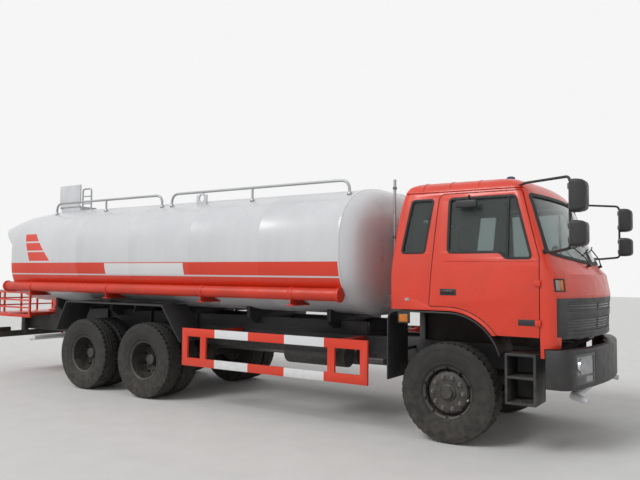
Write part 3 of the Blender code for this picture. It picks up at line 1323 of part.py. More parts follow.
def fuel_tank():
    """The fuel tank with rounded edges, and its arms to the rail."""
    c = FUEL_CORNER
    y0, y1, z0, z1 = FUEL_IN_Y, FUEL_OUT_Y, FUEL_BOTTOM_Z, FUEL_TOP_Z
    outline = (arc((y1 - c, z1 - c), c, 0, 90, 3) + arc((y0 + c, z1 - c), c, 90, 180, 3)
               + arc((y0 + c, z0 + c), c, 180, 270, 3) + arc((y1 - c, z0 + c), c, 270, 360, 3))
    pieces = []
    for share in ARM_SHARES:
        x = FUEL_REAR_X + (FUEL_FRONT_X - FUEL_REAR_X) * share
        pieces.append(block((x - c / 2, x + c / 2), (FRAME_HALF_WIDTH + FIT, y0 + c),
                            (FRAME_BOTTOM_Z, FRAME_BOTTOM_Z + 2 * c)))
    return unite(prism(outline, "X", (FUEL_REAR_X, FUEL_FRONT_X)), *pieces)


def air_tanks():
    """Two air tanks on the right, with their arms to the rail."""
    bodies = [rod((AIR_TANK_REAR_X, y, AIR_TANK_Z), (AIR_TANK_FRONT_X, y, AIR_TANK_Z),
                  AIR_TANK_RADIUS, 16) for y in (AIR_TANK_NEAR_Y, AIR_TANK_FAR_Y)]
    arms = []
    for share in ARM_SHARES:
        x = AIR_TANK_REAR_X + (AIR_TANK_FRONT_X - AIR_TANK_REAR_X) * share
        arms.append(block((x - AIR_TANK_RADIUS / 5, x + AIR_TANK_RADIUS / 5),
                          (AIR_TANK_FAR_Y, -FRAME_HALF_WIDTH - FIT),
                          (AIR_TANK_Z - AIR_TANK_RADIUS / 3, AIR_TANK_Z + AIR_TANK_RADIUS / 3)))
    return unite(arms[0], bodies[0], bodies[1], arms[1])


def cab_ring(level, shares, inset):
    """The plan outline of the cab at one level, moved in by the inset."""
    rear, corner = CAB_REAR_X * shares[0] + inset, CAB_CORNER_X * shares[1] - inset
    front, half = CAB_FRONT_X * shares[2] - inset, CAB_HALF_WIDTH * shares[3] - inset
    turn = math.radians(CORNER_TURN_DEG)
    small, big = REAR_CORNER_RADIUS - inset, FRONT_CORNER_RADIUS - inset
    side = arc((rear + small, half - small), small, 180, 90, 2)
    side += arc((corner - big * math.cos(turn), half - big), big, 90, CORNER_TURN_DEG, 3)
    edge = half - big * (1 - math.sin(turn))
    for share in FRONT_BOW_SHARES:
        side.append((corner + (front - corner) * (1 - share ** 2), edge * share))
    ring = side + [(front, 0)] + [(x, -y) for x, y in reversed(side)]
    return [(x, y, level) for x, y in ring]


def cab_body(inset=0.0):
    """The cab's outer form, or that form moved in by the inset."""
    rings = []
    for level, shares in zip(CAB_LEVELS, CAB_PLAN_SHARES):
        drop_by = inset if level > EAVE_Z else 0.0
        rings.append(cab_ring(level - drop_by, shares, inset))
    return loft(rings)


def skin(outer, inner, outline, axis, ends):
    """What lies between two insets of the cab's form, within an outline."""
    return cut(common(cab_body(outer), prism(outline, axis, ends)), cab_body(inner))


def door_outline(gap=0.0):
    """The door in side view, made smaller all round by the gap; its opening runs out below."""
    radius = ARCH_RADIUS + DOOR_ARCH_LIFT + gap
    sill = SILL_Z + FIT if gap else SILL_Z - OVERRUN
    end = math.asin((SILL_Z - ARCH_Z) / radius)
    bow = arc((ARCH_X, ARCH_Z), radius, 90, math.degrees(end), 5)
    low = [(bow[-1][0] + gap * 0.2, sill), (DOOR_FRONT_X - gap, sill)]
    return ([(DOOR_REAR_X + gap, ARCH_Z + radius)] + bow + low
            + [(DOOR_FRONT_X - gap, WINDOW_DIP_Z), (DOOR_TOP_FRONT_X - gap, DOOR_TOP_Z - gap),
               (DOOR_TOP_REAR_X + gap, DOOR_TOP_Z - gap),
               (DOOR_REAR_TOP_X + gap, DOOR_TOP_Z - CAB_WALL)])


def window_outline(gap=0.0):
    """The door's window in side view."""
    low, dip, high = WINDOW_BOTTOM_Z + gap, WINDOW_DIP_Z + gap, WINDOW_TOP_Z - gap
    return [(DOOR_WINDOW_REAR_X + gap, low), (DOOR_WINDOW_DIP_X, low), (DOOR_WINDOW_STEP_X, dip),
            (DOOR_WINDOW_FRONT_X - gap, dip), (DOOR_WINDOW_TOP_X - gap, high),
            (DOOR_WINDOW_REAR_X + gap, high)]


def quarter_outline(gap=0.0):
    """The window behind the door, in side view."""
    low, high = WINDOW_BOTTOM_Z + gap, WINDOW_TOP_Z - gap
    return [(QUARTER_REAR_X + gap, low), (QUARTER_FRONT_X - gap, low),
            (QUARTER_FRONT_TOP_X - gap, high), (QUARTER_REAR_TOP_X + gap, high)]


def screen_outline(gap=0.0):
    """The windscreen in front view."""
    rise = SCREEN_CORNER_Z - SCREEN_BOTTOM_Z
    half = [(SCREEN_BOTTOM_Y * share, SCREEN_BOTTOM_Z + gap + rise * share ** 2)
            for share in SCREEN_CURVE_SHARES]
    half += [(SCREEN_BOTTOM_Y - gap, SCREEN_CORNER_Z + gap), (SCREEN_TOP_Y - gap, SCREEN_TOP_Z - gap)]
    return half + [(-y, z) for y, z in reversed(half)]


def back_window_outline(gap=0.0):
    """The cab's rear window in front view."""
    y, low, high = BACK_WINDOW_Y - gap, BACK_WINDOW_LOW_Z + gap, BACK_WINDOW_HIGH_Z - gap
    return [(-y, low), (y, low), (y, high), (-y, high)]


def side_ends():
    """How far a cut through the right-hand wall runs."""
    return -CAB_HALF_WIDTH - OVERRUN, -CAB_HALF_WIDTH * SIDE_CUT_SHARE


def front_ends():
    """How far a cut through the front wall runs."""
    return SCREEN_START_X, BUMPER_FRONT_X + OVERRUN


def back_ends():
    """How far a cut through the cab's back wall runs."""
    return CAB_REAR_X - OVERRUN, CAB_REAR_X + 5 * CAB_WALL


def cab_walls():
    """The hollow cab before its doors and windows are cut, right down to its sills."""
    room = cab_body(CAB_WALL)
    far = BUMPER_FRONT_X + OVERRUN
    wide = CAB_HALF_WIDTH + OVERRUN
    low_room = block((FOOTWELL_X, far), (-wide, wide), (FOOTWELL_Z, ROOF_TOP_Z + OVERRUN))
    high_room = block((CAB_REAR_X - OVERRUN, FOOTWELL_X + CAB_WALL), (-wide, wide),
                      (CAB_FLOOR_Z, ROOF_TOP_Z + OVERRUN))
    room = common(room, unite(low_room, high_room))
    low = CAB_BOTTOM_Z - OVERRUN
    end = math.degrees(math.asin((SILL_Z - ARCH_Z) / ARCH_RADIUS))
    under = ([(CAB_REAR_X - OVERRUN, low), (CAB_REAR_X - OVERRUN, SIDE_BOTTOM_Z)]
             + arc((ARCH_X, ARCH_Z), ARCH_RADIUS, 90, end, 6)
             + [(DOOR_FRONT_X, SILL_Z), (DOOR_FRONT_X, low)])
    nose = block((DOOR_FRONT_X - OVERRUN, far), (-STRIP_IN_Y, STRIP_IN_Y), (low, SILL_Z))
    bumper_room = block((BUMPER_END_X - WORK_GAP, far), (-wide, wide), (low, BUMPER_TOP_Z + WORK_GAP))
    return cut(cab_body(), room, prism(under, "Y", (-wide, wide)), nose, bumper_room)


def grille_cutter(gap=0.0):
    """The band of the front wall that the grille panel takes up."""
    wide = CAB_HALF_WIDTH + OVERRUN
    return block((GRILLE_REAR_X + gap, BUMPER_FRONT_X + OVERRUN), (-wide, wide),
                 (GRILLE_BOTTOM_Z + gap, PANEL_SPLIT_Z - gap))


def cab_shell(walls):
    """The cab with openings for doors, windows, grille panel and turn lamps."""
    ends = side_ends()
    opening = cut(prism(door_outline(), "Y", ends), cab_body(CAB_WALL + PANEL_GAP))
    quarter = prism(quarter_outline(), "Y", ends)
    cutters = [mirrored(opening), opening, mirrored(quarter), quarter]
    cutters.append(prism(screen_outline(), "X", front_ends()))
    cutters.append(prism(back_window_outline(), "X", back_ends()))
    cutters.append(cut(grille_cutter(), cab_body(GRILLE_THICKNESS)))
    lamp = cut(turn_lamp_box(), cab_body(TURN_LAMP_DEPTH))
    cutters += [mirrored(lamp), lamp]
    pieces = []
    for side in (-1, 1):
        y = side * TILT_PIN_Y
        pieces.append(rod((TILT_X, y - TILT_PIN_HALF_LENGTH, TILT_Z),
                          (TILT_X, y + TILT_PIN_HALF_LENGTH, TILT_Z), TILT_PIN_RADIUS))
        for z in (HINGE_LOW_Z, HINGE_HIGH_Z):
            pieces.append(hinge_half(side, 1, z + FIT, z + HINGE_LENGTH / 2))
            pieces.append(hinge_half(side, 1, z - HINGE_LENGTH * 1.5, z - HINGE_LENGTH - FIT))
    return unite(cut(walls, *cutters), *pieces)


def hinge_half(side, forward, low, high):
    """A knuckle on the door's hinge line with the leaf that joins it to the cab or the door."""
    y, r = side * abs(HINGE_Y), HINGE_RADIUS
    knuckle_rod = rod((DOOR_FRONT_X, y, low), (DOOR_FRONT_X, y, high), r, 8)
    leaf = block((DOOR_FRONT_X + forward * r / 2, DOOR_FRONT_X + forward * HINGE_LEAF),
                 (y, side * (CAB_HALF_WIDTH - r)), (low + r / 4, high - r / 4))
    return unite(leaf, knuckle_rod)


def turn_lamp_box(gap=0.0):
    """A box round the right-hand turn lamp, open to the front."""
    return block((TURN_LAMP_X + gap, BUMPER_FRONT_X), (-TURN_LAMP_OUT_Y + gap, -TURN_LAMP_IN_Y - gap),
                 (TURN_LAMP_LOW_Z + gap, TURN_LAMP_HIGH_Z - gap))


def turn_lamp():
    """The right-hand turn lamp, flush in the front panel."""
    return cut(common(turn_lamp_box(FIT), cab_body()), cab_body(TURN_LAMP_DEPTH - FIT))


def grille_panel():
    """The dark panel under the front panel, which wraps round the corners."""
    return cut(common(grille_cutter(FIT), cab_body()), cab_body(GRILLE_THICKNESS - FIT))


def door():
    """The right-hand door, as thick as the cab's wall, with its window open."""
    panel = skin(0.0, CAB_WALL, door_outline(PANEL_GAP), "Y", side_ends())
    panel = cut(panel, prism(window_outline(), "Y", side_ends()))
    hinges = [hinge_half(-1, -1, z - HINGE_LENGTH, z) for z in (HINGE_LOW_Z, HINGE_HIGH_Z)]
    return unite(panel, *hinges)


def dashboard():
    """The dashboard across the front wall, with the steering column and wheel."""
    gap = CAB_WALL + FIT
    wide = DASH_HALF_WIDTH
    shelf = common(block((DASH_REAR_X, BUMPER_FRONT_X), (-wide, wide), (DASH_BOTTOM_Z, DASH_TOP_Z)),
                   cab_body(gap))
    slope = math.radians(STEERING_SLOPE_DEG)
    along = Vector((math.cos(slope), 0, -math.sin(slope)))
    centre = Vector((STEERING_WHEEL_X, STEERING_Y, STEERING_WHEEL_Z))
    rim = bpy.data.curves.new("rim", "CURVE")
    rim.dimensions = "3D"
    rim.bevel_depth = STEERING_RIM_RADIUS
    rim.bevel_resolution = 1
    line = rim.splines.new("POLY")
    line.points.add(WHEEL_SIDES - 1)
    across, up = Vector((0, 1, 0)), Vector((0, 1, 0)).cross(along)
    for i, point in enumerate(line.points):
        turn = 2 * math.pi * i / WHEEL_SIDES
        place = centre + STEERING_WHEEL_RADIUS * (math.cos(turn) * across + math.sin(turn) * up)
        point.co = (*place, 1)
    line.use_cyclic_u = True
    ring = bpy.data.objects.new("rim", rim)
    bpy.context.scene.collection.objects.link(ring)
    pieces = [baked(ring)]
    spoke = STEERING_RIM_RADIUS * 0.7
    pieces.append(rod(centre - STEERING_WHEEL_RADIUS * across, centre + STEERING_WHEEL_RADIUS * across,
                      spoke, 8))
    pieces.append(rod(centre, centre - STEERING_WHEEL_RADIUS * up, spoke, 8))
    pieces.append(rod(centre - along * COLUMN_RADIUS, centre + along * COLUMN_RADIUS,
                      COLUMN_RADIUS * 2, 12))
    length = (DASH_REAR_X + COLUMN_RADIUS * 2 - STEERING_WHEEL_X) / math.cos(slope)
    pieces.append(rod(centre, centre + along * length, COLUMN_RADIUS, 8))
    return unite(shelf, *pieces)


def seats():
    """Three seats in a row on one base, which covers the engine."""
    base_low = CAB_FLOOR_Z + FIT
    base = block((SEAT_REAR_X - BACK_THICKNESS / 2, SEAT_FRONT_X - BACK_THICKNESS),
                 (-BASE_HALF_WIDTH, BASE_HALF_WIDTH), (base_low, SEAT_BASE_TOP_Z))
    pieces = []
    half = SEAT_HALF_WIDTH
    for y in (-SEAT_PITCH, 0, SEAT_PITCH):
        pieces.append(block((SEAT_REAR_X, SEAT_FRONT_X), (y - half, y + half),
                            (SEAT_BASE_TOP_Z - BACK_THICKNESS / 4, CUSHION_TOP_Z)))
        behind = SEAT_REAR_X - BACK_THICKNESS / 2
        foot = SEAT_REAR_X + BACK_THICKNESS * BACK_FOOT_SHARE
        head = SEAT_REAR_X + BACK_THICKNESS * BACK_HEAD_SHARE
        outline = [(behind, SEAT_BASE_TOP_Z), (foot, SEAT_BASE_TOP_Z), (head, BACK_TOP_Z),
                   (behind, BACK_TOP_Z)]
        pieces.append(prism(outline, "Y", (y - half, y + half)))
    return unite(base, *pieces)


def mirror():
    """The right-hand mirrors: two housings on one bent arm."""
    x = (MIRROR_X, MIRROR_X + MIRROR_DEPTH)
    y = (-MIRROR_Y - MIRROR_HALF_WIDTH, -MIRROR_Y + MIRROR_HALF_WIDTH)
    upper = block(x, y, (MIRROR_UPPER_LOW_Z, MIRROR_UPPER_HIGH_Z))
    lower = block(x, y, (MIRROR_LOWER_LOW_Z, MIRROR_LOWER_HIGH_Z))
    ux, uy, uz = MIRROR_TOP_ROOT_X, MIRROR_TOP_ROOT_Y, MIRROR_TOP_ROOT_Z
    lx, ly, lz = MIRROR_LOW_ROOT_X, MIRROR_LOW_ROOT_Y, MIRROR_LOW_ROOT_Z
    post_x = MIRROR_X - MIRROR_ARM_RADIUS / 2
    elbow = CAB_WALL * 2.5
    arm = tube([(ux, -uy, uz), (ux + elbow, -uy - elbow, uz + MIRROR_ARM_RADIUS),
                (post_x, -MIRROR_Y, uz), (post_x, -MIRROR_Y, lz + MIRROR_ARM_RADIUS),
                (lx + elbow, -ly - elbow, lz - MIRROR_ARM_RADIUS), (lx, -ly, lz)],
               MIRROR_ARM_RADIUS)
    return cut(unite(arm, upper, lower), cab_body(-FIT))


def bumper_outline(grow=0.0):
    """The bumper in plan, a bowed bar with its ends turned back."""
    half, c = BUMPER_HALF_WIDTH + grow, BUMPER_CORNER_RADIUS
    out = [(BUMPER_END_X, half)]
    out += arc((BUMPER_CORNER_X + grow - c, half - c), c, 90, 25, 3)
    edge = out[-1]
    front = BUMPER_FRONT_X + grow
    bow = [(edge[0] + (front - edge[0]) * (1 - share ** 2), edge[1] * share)
           for share in BUMPER_BOW_SHARES]
    side = out + bow
    return side + [(front, 0)] + [(x, -y) for x, y in reversed(side)]


def bumper_bracket_z():
    """The level of the brackets that carry the bumper on the frame's ends."""
    return FRAME_TOP_Z - FRAME_DEPTH / 2


def bumper():
    """The bumper with pockets for the headlamps and brackets to the frame."""
    outer = bumper_outline()
    t = BUMPER_THICKNESS
    inner = [(x if x == BUMPER_END_X else x - t, math.copysign(max(abs(y) - t / 2, 0), y))
             for x, y in outer]
    body = prism(outer, "Z", (BUMPER_BOTTOM_Z, BUMPER_TOP_Z))
    inner[0] = (BUMPER_END_X - OVERRUN, inner[0][1])
    inner[-1] = (BUMPER_END_X - OVERRUN, inner[-1][1])
    body = cut(body, prism(inner, "Z", (BUMPER_BOTTOM_Z - OVERRUN, BUMPER_TOP_Z + OVERRUN)))
    pieces = []
    mid = bumper_bracket_z()
    for side in (-1, 1):
        y = side * (FRAME_HALF_WIDTH - FRAME_FLANGE / 2)
        pieces.append(block((FRAME_FRONT_X + FIT, BUMPER_FRONT_X - t / 2),
                            (y - BUMPER_BRACKET_HALF_WIDTH, y + BUMPER_BRACKET_HALF_WIDTH),
                            (mid - BUMPER_BRACKET_HALF_WIDTH, mid + BUMPER_BRACKET_HALF_WIDTH)))
    body = unite(body, *pieces)
    pockets = [block((LAMP_BACK_X, BUMPER_FRONT_X + OVERRUN),
                     (side * LAMP_IN_Y, side * LAMP_OUT_Y), (LAMP_LOW_Z, LAMP_HIGH_Z))
               for side in (-1, 1)]
    return cut(body, *pockets)


def headlamp():
    """The right-hand headlamp with the fog lamp under it, flush with the bumper."""
    gap = FIT
    box = block((LAMP_BACK_X + gap, BUMPER_FRONT_X + OVERRUN),
                (-LAMP_IN_Y - gap, -LAMP_OUT_Y + gap), (LAMP_LOW_Z + gap, LAMP_HIGH_Z - gap))
    return common(box, prism(bumper_outline(), "Z", (BUMPER_BOTTOM_Z, BUMPER_TOP_Z)))


def step():
    """The right-hand step box: two treads between side plates, on an arm from the frame."""
    x0, x1, t = STEP_REAR_X, STEP_FRONT_X, STEP_PLATE
    y0, y1 = -STEP_OUT_Y, -STEP_IN_Y
    box = block((x0, x1), (y0, y1), (STEP_BOTTOM_Z, STEP_TOP_Z))
    for low, high in ((STEP_BOTTOM_Z + t, STEP_TREAD_Z), (STEP_TREAD_Z + t, STEP_TOP_Z - t)):
        box = cut(box, block((x0 + t, x1 - t), (y0 - OVERRUN, y1 - t), (low, high)))
    mid, arm_z = (x0 + x1) / 2, FRAME_TOP_Z - CROSS_DEPTH
    arm = block((mid - t, mid + t), (y1 - t / 2, -FRAME_HALF_WIDTH - FIT), (arm_z, arm_z + 2 * t))
    return unite(box, arm)


def front_mudguard():
    """The right-hand front mudguard, which follows the cab's arch and hangs behind the wheel."""
    radius = ARCH_RADIUS - FENDER_GAP
    t, bend = FENDER_PLATE, FENDER_REAR_BEND
    top = ARCH_Z + radius
    arch_end = math.degrees(math.asin((SILL_Z - FENDER_GAP - ARCH_Z) / radius))
    start = arch_end * FENDER_START_SHARE
    outer = arc((ARCH_X, ARCH_Z), radius, start, 90, 7)
    outer += arc((FENDER_REAR_X + bend, top - bend), bend, 90, 180, 3)
    outer.append((FENDER_REAR_X, FENDER_BOTTOM_Z))
    inner = arc((ARCH_X, ARCH_Z), radius - t, start, 90, 7)
    inner += arc((FENDER_REAR_X + bend, top - bend), bend - t, 90, 180, 3)
    inner.append((FENDER_REAR_X + t, FENDER_BOTTOM_Z))
    sheet = prism(outer + inner[::-1], "Y", (-FENDER_OUT_Y, -FENDER_IN_Y))
    arm = t
    z = FRAME_TOP_Z - CROSS_DEPTH / 2
    bracket = block((FENDER_REAR_X - arm, FENDER_REAR_X + t / 2),
                    (-FENDER_OUT_Y + arm, -FRAME_HALF_WIDTH - FIT), (z - arm, z + arm))
    return unite(sheet, bracket)


def beacon():
    """The small dome lamp on the cab's roof."""
    shape = rod((BEACON_X, BEACON_Y, ROOF_TOP_Z - BEACON_HEIGHT),
                (BEACON_X, BEACON_Y, ROOF_TOP_Z + BEACON_HEIGHT * 0.4), BEACON_RADIUS, 12,
                BEACON_RADIUS * 0.6)
    return cut(shape, cab_body(-FIT))


def prop_shaft(start_x, end_x, radius):
    """A level shaft between two flanges, with the fit at each end."""
    z = AXLE_Z + THROUGH_RISE
    return rod((start_x - FIT, 0, z), (end_x + FIT, 0, z), radius)


clear_scene()
truck = new_collection("tanker_truck")

PAINT_RED = material("red_paint", (0.62, 0.035, 0.015), 0.35)
PAINT_WHITE = material("white_paint", (0.60, 0.60, 0.60), 0.35)
FRAME_BLACK = material("frame_black", (0.02, 0.02, 0.02), 0.6)
PLASTIC_BLACK = material("black_plastic", (0.03, 0.028, 0.026), 0.5)
RUBBER = material("tyre_rubber", (0.02, 0.02, 0.02), 0.85)
RIM_PAINT = material("rim_paint", (0.03, 0.03, 0.03), 0.5)
CAST = material("cast_iron", (0.05, 0.05, 0.05), 0.65)
GLASS = material("glass", (0.10, 0.12, 0.12), 0.08)
LAMP_CLEAR = material("lamp_clear", (0.55, 0.55, 0.55), 0.15)
LAMP_AMBER = material("lamp_amber", (0.75, 0.22, 0.02), 0.2)
LAMP_BLUE = material("lamp_dark", (0.02, 0.03, 0.06), 0.2)
SEAT_CLOTH = material("seat_cloth", (0.08, 0.08, 0.09), 0.9)
STEEL = material("bare_steel", (0.35, 0.35, 0.35), 0.4, 0.8)

datum = bpy.data.objects.new("truck_datum", None)
truck.objects.link(datum)
datum.location = (-MIDDLE_X, 0, 0)
datum["place"] = (0.0, 0.0, 0.0)

cab_tilt = empty("cab_tilt", (TILT_X, 0, TILT_Z), datum)
door_hinges = [empty("door_hinge_" + word, (DOOR_FRONT_X, side * HINGE_Y, BELT_Z), cab_tilt)
               for word, side in (("right", 1), ("left", -1))]
steering = [empty("steer_" + word, (0, side * KINGPIN_Y, AXLE_Z), datum)
            for word, side in (("right", -1), ("left", 1))]
front_hubs = [empty("hub_" + word, (0, side * FRONT_WHEEL_Y, AXLE_Z), parent)
              for (word, side), parent in zip((("right", -1), ("left", 1)), steering)]
lid_hinge = empty("lid_hinge", (HATCH_FRONT_X, lid_hinge_y(), lid_hinge_z()), datum)
cannon_pan = empty("cannon_pan", (CANNON_X, 0, PEDESTAL_TOP_Z), datum)
cannon_tilt = empty("cannon_tilt", (CANNON_X, 0, PEDESTAL_TOP_Z + FIT + TRUNNION_HEIGHT), cannon_pan)

keep(frame(), "frame", FRAME_BLACK, datum)
keep(front_axle(), "front_axle", CAST, datum)
keep_both(knuckle(), "knuckle", CAST, steering)
keep(axle_housing(MID_AXLE_X, True), "axle_mid", CAST, datum)
keep(axle_housing(REAR_AXLE_X), "axle_rear", CAST, datum)
keep(bogie(), "bogie_springs", CAST, datum)
keep(engine(), "engine", CAST, datum)
keep(prop_shaft(GEARBOX_REAR_X, MID_AXLE_X + NOSE_LENGTH, SHAFT_RADIUS),
     "prop_shaft_front", STEEL, datum)
keep(prop_shaft(MID_AXLE_X - BANJO_RADIUS, REAR_AXLE_X + NOSE_LENGTH, THROUGH_SHAFT_RADIUS),
     "prop_shaft_rear", STEEL, datum)
keep(fuel_tank(), "fuel_tank", STEEL, datum)
keep(air_tanks(), "air_tanks", FRAME_BLACK, datum)

for (word, side), hub, parent in zip((("right", -1), ("left", 1)), front_hubs, steering):
    place = (0, side * FRONT_WHEEL_Y, AXLE_Z)
    keep(front_tyre(place, side), "tyre_front_" + word, RUBBER, hub)
    keep(front_rim(place, side), "rim_front_" + word, RIM_PAINT, hub)
for axle, x in (("mid", MID_AXLE_X), ("rear", REAR_AXLE_X)):
    for word, side in (("right", -1), ("left", 1)):
        place = (x, side * TWIN_WHEEL_Y, AXLE_Z)
        hub = empty("hub_%s_%s" % (axle, word), place, datum)
        keep(twin_wheel(place, side), "twin_wheel_%s_%s" % (axle, word), RUBBER, hub)

keep(tank(), "tank", PAINT_WHITE, datum)
keep(hatch_lid(), "hatch_lid", PAINT_WHITE, lid_hinge)
keep(cradle(), "cradle", FRAME_BLACK, datum)
keep_both(hose_tube(), "hose_tube", PAINT_RED, (datum, datum))
keep_both(side_guard(), "side_guard", PAINT_RED, (datum, datum))
keep_both(tandem_mudguard(), "tandem_mudguard", FRAME_BLACK, (datum, datum))
keep(platform(), "platform", PAINT_RED, datum)
keep(cannon_pedestal(), "cannon_pedestal", PAINT_RED, datum)
keep(cannon_yoke(), "cannon_yoke", PAINT_RED, cannon_pan)
keep(cannon_barrel(), "cannon_barrel", PAINT_RED, cannon_tilt)
keep(underrun(), "underrun_bar", FRAME_BLACK, datum)
keep(rear_pipes(), "rear_spray_pipes", PAINT_WHITE, datum)
keep(front_spray_bar(), "front_spray_bar", PAINT_WHITE, datum)
keep(bumper(), "bumper", PLASTIC_BLACK, datum)
keep_both(headlamp(), "headlamp", LAMP_CLEAR, (datum, datum))
keep_both(step(), "step", FRAME_BLACK, (datum, datum))
keep_both(front_mudguard(), "front_mudguard", PLASTIC_BLACK, (datum, datum))

keep_both(door(), "door", PAINT_RED, door_hinges)
keep(cab_shell(cab_walls()), "cab_shell", PAINT_RED, cab_tilt)
pane = (GLASS_INSET, GLASS_INSET + GLASS_THICKNESS)
keep_both(skin(*pane, window_outline(FIT), "Y", side_ends()), "door_glass", GLASS, door_hinges)
keep_both(skin(*pane, quarter_outline(FIT), "Y", side_ends()), "quarter_glass", GLASS,
          (cab_tilt, cab_tilt))
keep(skin(SCREEN_INSET, SCREEN_INSET + GLASS_THICKNESS, screen_outline(FIT), "X", front_ends()),
     "windscreen", GLASS, cab_tilt)
keep(skin(*pane, back_window_outline(FIT), "X", back_ends()), "back_glass", GLASS, cab_tilt)
keep(grille_panel(), "grille_panel", PLASTIC_BLACK, cab_tilt)
keep_both(turn_lamp(), "turn_lamp", LAMP_AMBER, (cab_tilt, cab_tilt))
keep(dashboard(), "dashboard", PLASTIC_BLACK, cab_tilt)
keep(seats(), "seats", SEAT_CLOTH, cab_tilt)
keep_both(mirror(), "mirror", PLASTIC_BLACK, (cab_tilt, cab_tilt))
keep(beacon(), "beacon", LAMP_BLUE, cab_tilt)
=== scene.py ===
# %% [markdown]
# # A water tanker truck, dressed for a portrait
# The solids of the truck come in as a fixed frame. Every step below adds a piece or a finish
# to them: first the helpers and the paints, then wheels, tank, cab, chassis, and last the
# floor, the light and the camera.

# %% Load the frame
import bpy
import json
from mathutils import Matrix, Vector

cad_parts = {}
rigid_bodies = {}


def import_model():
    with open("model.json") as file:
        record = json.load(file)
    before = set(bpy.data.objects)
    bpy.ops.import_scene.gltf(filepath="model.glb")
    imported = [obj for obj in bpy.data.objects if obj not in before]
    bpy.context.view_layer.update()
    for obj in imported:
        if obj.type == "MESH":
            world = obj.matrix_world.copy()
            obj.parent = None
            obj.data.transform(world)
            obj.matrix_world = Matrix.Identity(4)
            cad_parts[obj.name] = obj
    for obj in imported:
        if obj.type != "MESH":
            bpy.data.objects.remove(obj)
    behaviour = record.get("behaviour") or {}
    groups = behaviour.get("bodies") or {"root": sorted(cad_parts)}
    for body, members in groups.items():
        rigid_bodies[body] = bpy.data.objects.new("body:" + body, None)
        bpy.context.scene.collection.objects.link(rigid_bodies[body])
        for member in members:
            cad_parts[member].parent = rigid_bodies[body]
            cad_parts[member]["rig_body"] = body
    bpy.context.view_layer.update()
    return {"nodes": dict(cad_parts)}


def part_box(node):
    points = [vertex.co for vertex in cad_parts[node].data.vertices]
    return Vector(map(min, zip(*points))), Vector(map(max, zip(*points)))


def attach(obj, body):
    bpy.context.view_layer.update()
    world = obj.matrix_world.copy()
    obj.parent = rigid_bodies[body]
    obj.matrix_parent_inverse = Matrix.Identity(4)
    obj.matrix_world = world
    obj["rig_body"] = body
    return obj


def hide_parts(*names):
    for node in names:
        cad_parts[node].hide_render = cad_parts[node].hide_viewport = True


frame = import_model()

import json
import math

import bmesh
import bpy
from mathutils import Matrix, Vector

# %% [markdown]
# All places below are counted from the front axle: X forwards, Y to the left, Z up from the
# ground. The frame's own origin is the middle of the truck, so the front wheel's box says how
# far each finished mesh is moved. One shift in one place is easier to trust than a sum at
# every point.

# %% Where the front axle is
wheel_low, wheel_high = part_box("tyre_front_right")
AXLE_X = (wheel_low.x + wheel_high.x) / 2
TYRE_RADIUS = (wheel_high.z - wheel_low.z) / 2
SHIFT = Matrix.Translation((AXLE_X, 0, 0))
print("front axle at", round(AXLE_X, 4), "tyre radius", round(TYRE_RADIUS, 4))

# %% [markdown]
# A piece can be made from a bmesh, from a curve or with modifiers. These helpers turn each of
# them into one plain mesh, give it its finish, and let it ride on its body. Applying the
# modifiers at once keeps the object list short.

# %% Helpers that finish a piece
SMOOTH_DEG = 35.0
CLOSE = 0.00003


def plain(item):
    """Return a new mesh of an object as its modifiers leave it, and delete the object."""
    bpy.context.view_layer.update()
    seen = item.evaluated_get(bpy.context.evaluated_depsgraph_get())
    mesh = bpy.data.meshes.new_from_object(seen)
    mesh.transform(item.matrix_world)
    bpy.data.objects.remove(item, do_unlink=True)
    return mesh


def hold(mesh, name="work"):
    """Put a mesh into the scene as an object."""
    item = bpy.data.objects.new(name, mesh)
    bpy.context.scene.collection.objects.link(item)
    return item


def from_shape(shape):
    """Put a bmesh into the scene, with its faces turned outwards."""
    bmesh.ops.recalc_face_normals(shape, faces=shape.faces)
    if shape.calc_volume(signed=True) < 0:
        bmesh.ops.reverse_faces(shape, faces=shape.faces)
    mesh = bpy.data.meshes.new("work")
    shape.to_mesh(mesh)
    shape.free()
    return hold(mesh)


def rounded(item, width, segments=2, angle=40.0):
    """Round the sharp edges of a work object."""
    bevel = item.modifiers.new("round", "BEVEL")
    bevel.width = width
    bevel.segments = segments
    bevel.limit_method = "ANGLE"
    bevel.angle_limit = math.radians(angle)
    bevel.use_clamp_overlap = True
    return hold(plain(item))


def boolean(item, others, operation):
    """Cut a work object with others, join it to them or keep what they share."""
    for other in others:
        step = item.modifiers.new("step", "BOOLEAN")
        step.operation = operation
        step.solver = "EXACT"
        step.object = other
        item = hold(plain(item))
        bpy.data.objects.remove(other, do_unlink=True)
    return item


def cut(item, *others):
    """Take solids out of a work object."""
    return boolean(item, others, "DIFFERENCE")


def common(item, *others):
    """Keep what a work object shares with others."""
    return boolean(item, others, "INTERSECT")


def merged(items):
    """Put several work objects into one, without joining their surfaces."""
    shape = bmesh.new()
    for item in items:
        mesh = plain(item)
        shape.from_mesh(mesh)
        bpy.data.meshes.remove(mesh)
    mesh = bpy.data.meshes.new("work")
    shape.to_mesh(mesh)
    shape.free()
    return hold(mesh)


# %% Helpers that copy a piece and keep it


def copied(item, change):
    """Copy a work object, moved, turned or mirrored by a matrix."""
    mesh = item.data.copy()
    mesh.transform(change)
    if change.determinant() < 0:
        mesh.flip_normals()
    return hold(mesh)


def keep(item, name, finish, body, replaces=(), local=True, smooth=SMOOTH_DEG):
    """Name a work object, finish it and let it ride on its body."""
    mesh = plain(item)
    if local:
        mesh.transform(SHIFT)
    mesh.materials.clear()
    mesh.materials.append(finish)
    mesh.shade_smooth()
    mesh.set_sharp_from_angle(angle=math.radians(smooth))
    piece = hold(mesh, name)
    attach(piece, body)
    if replaces:
        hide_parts(*replaces)
    return piece


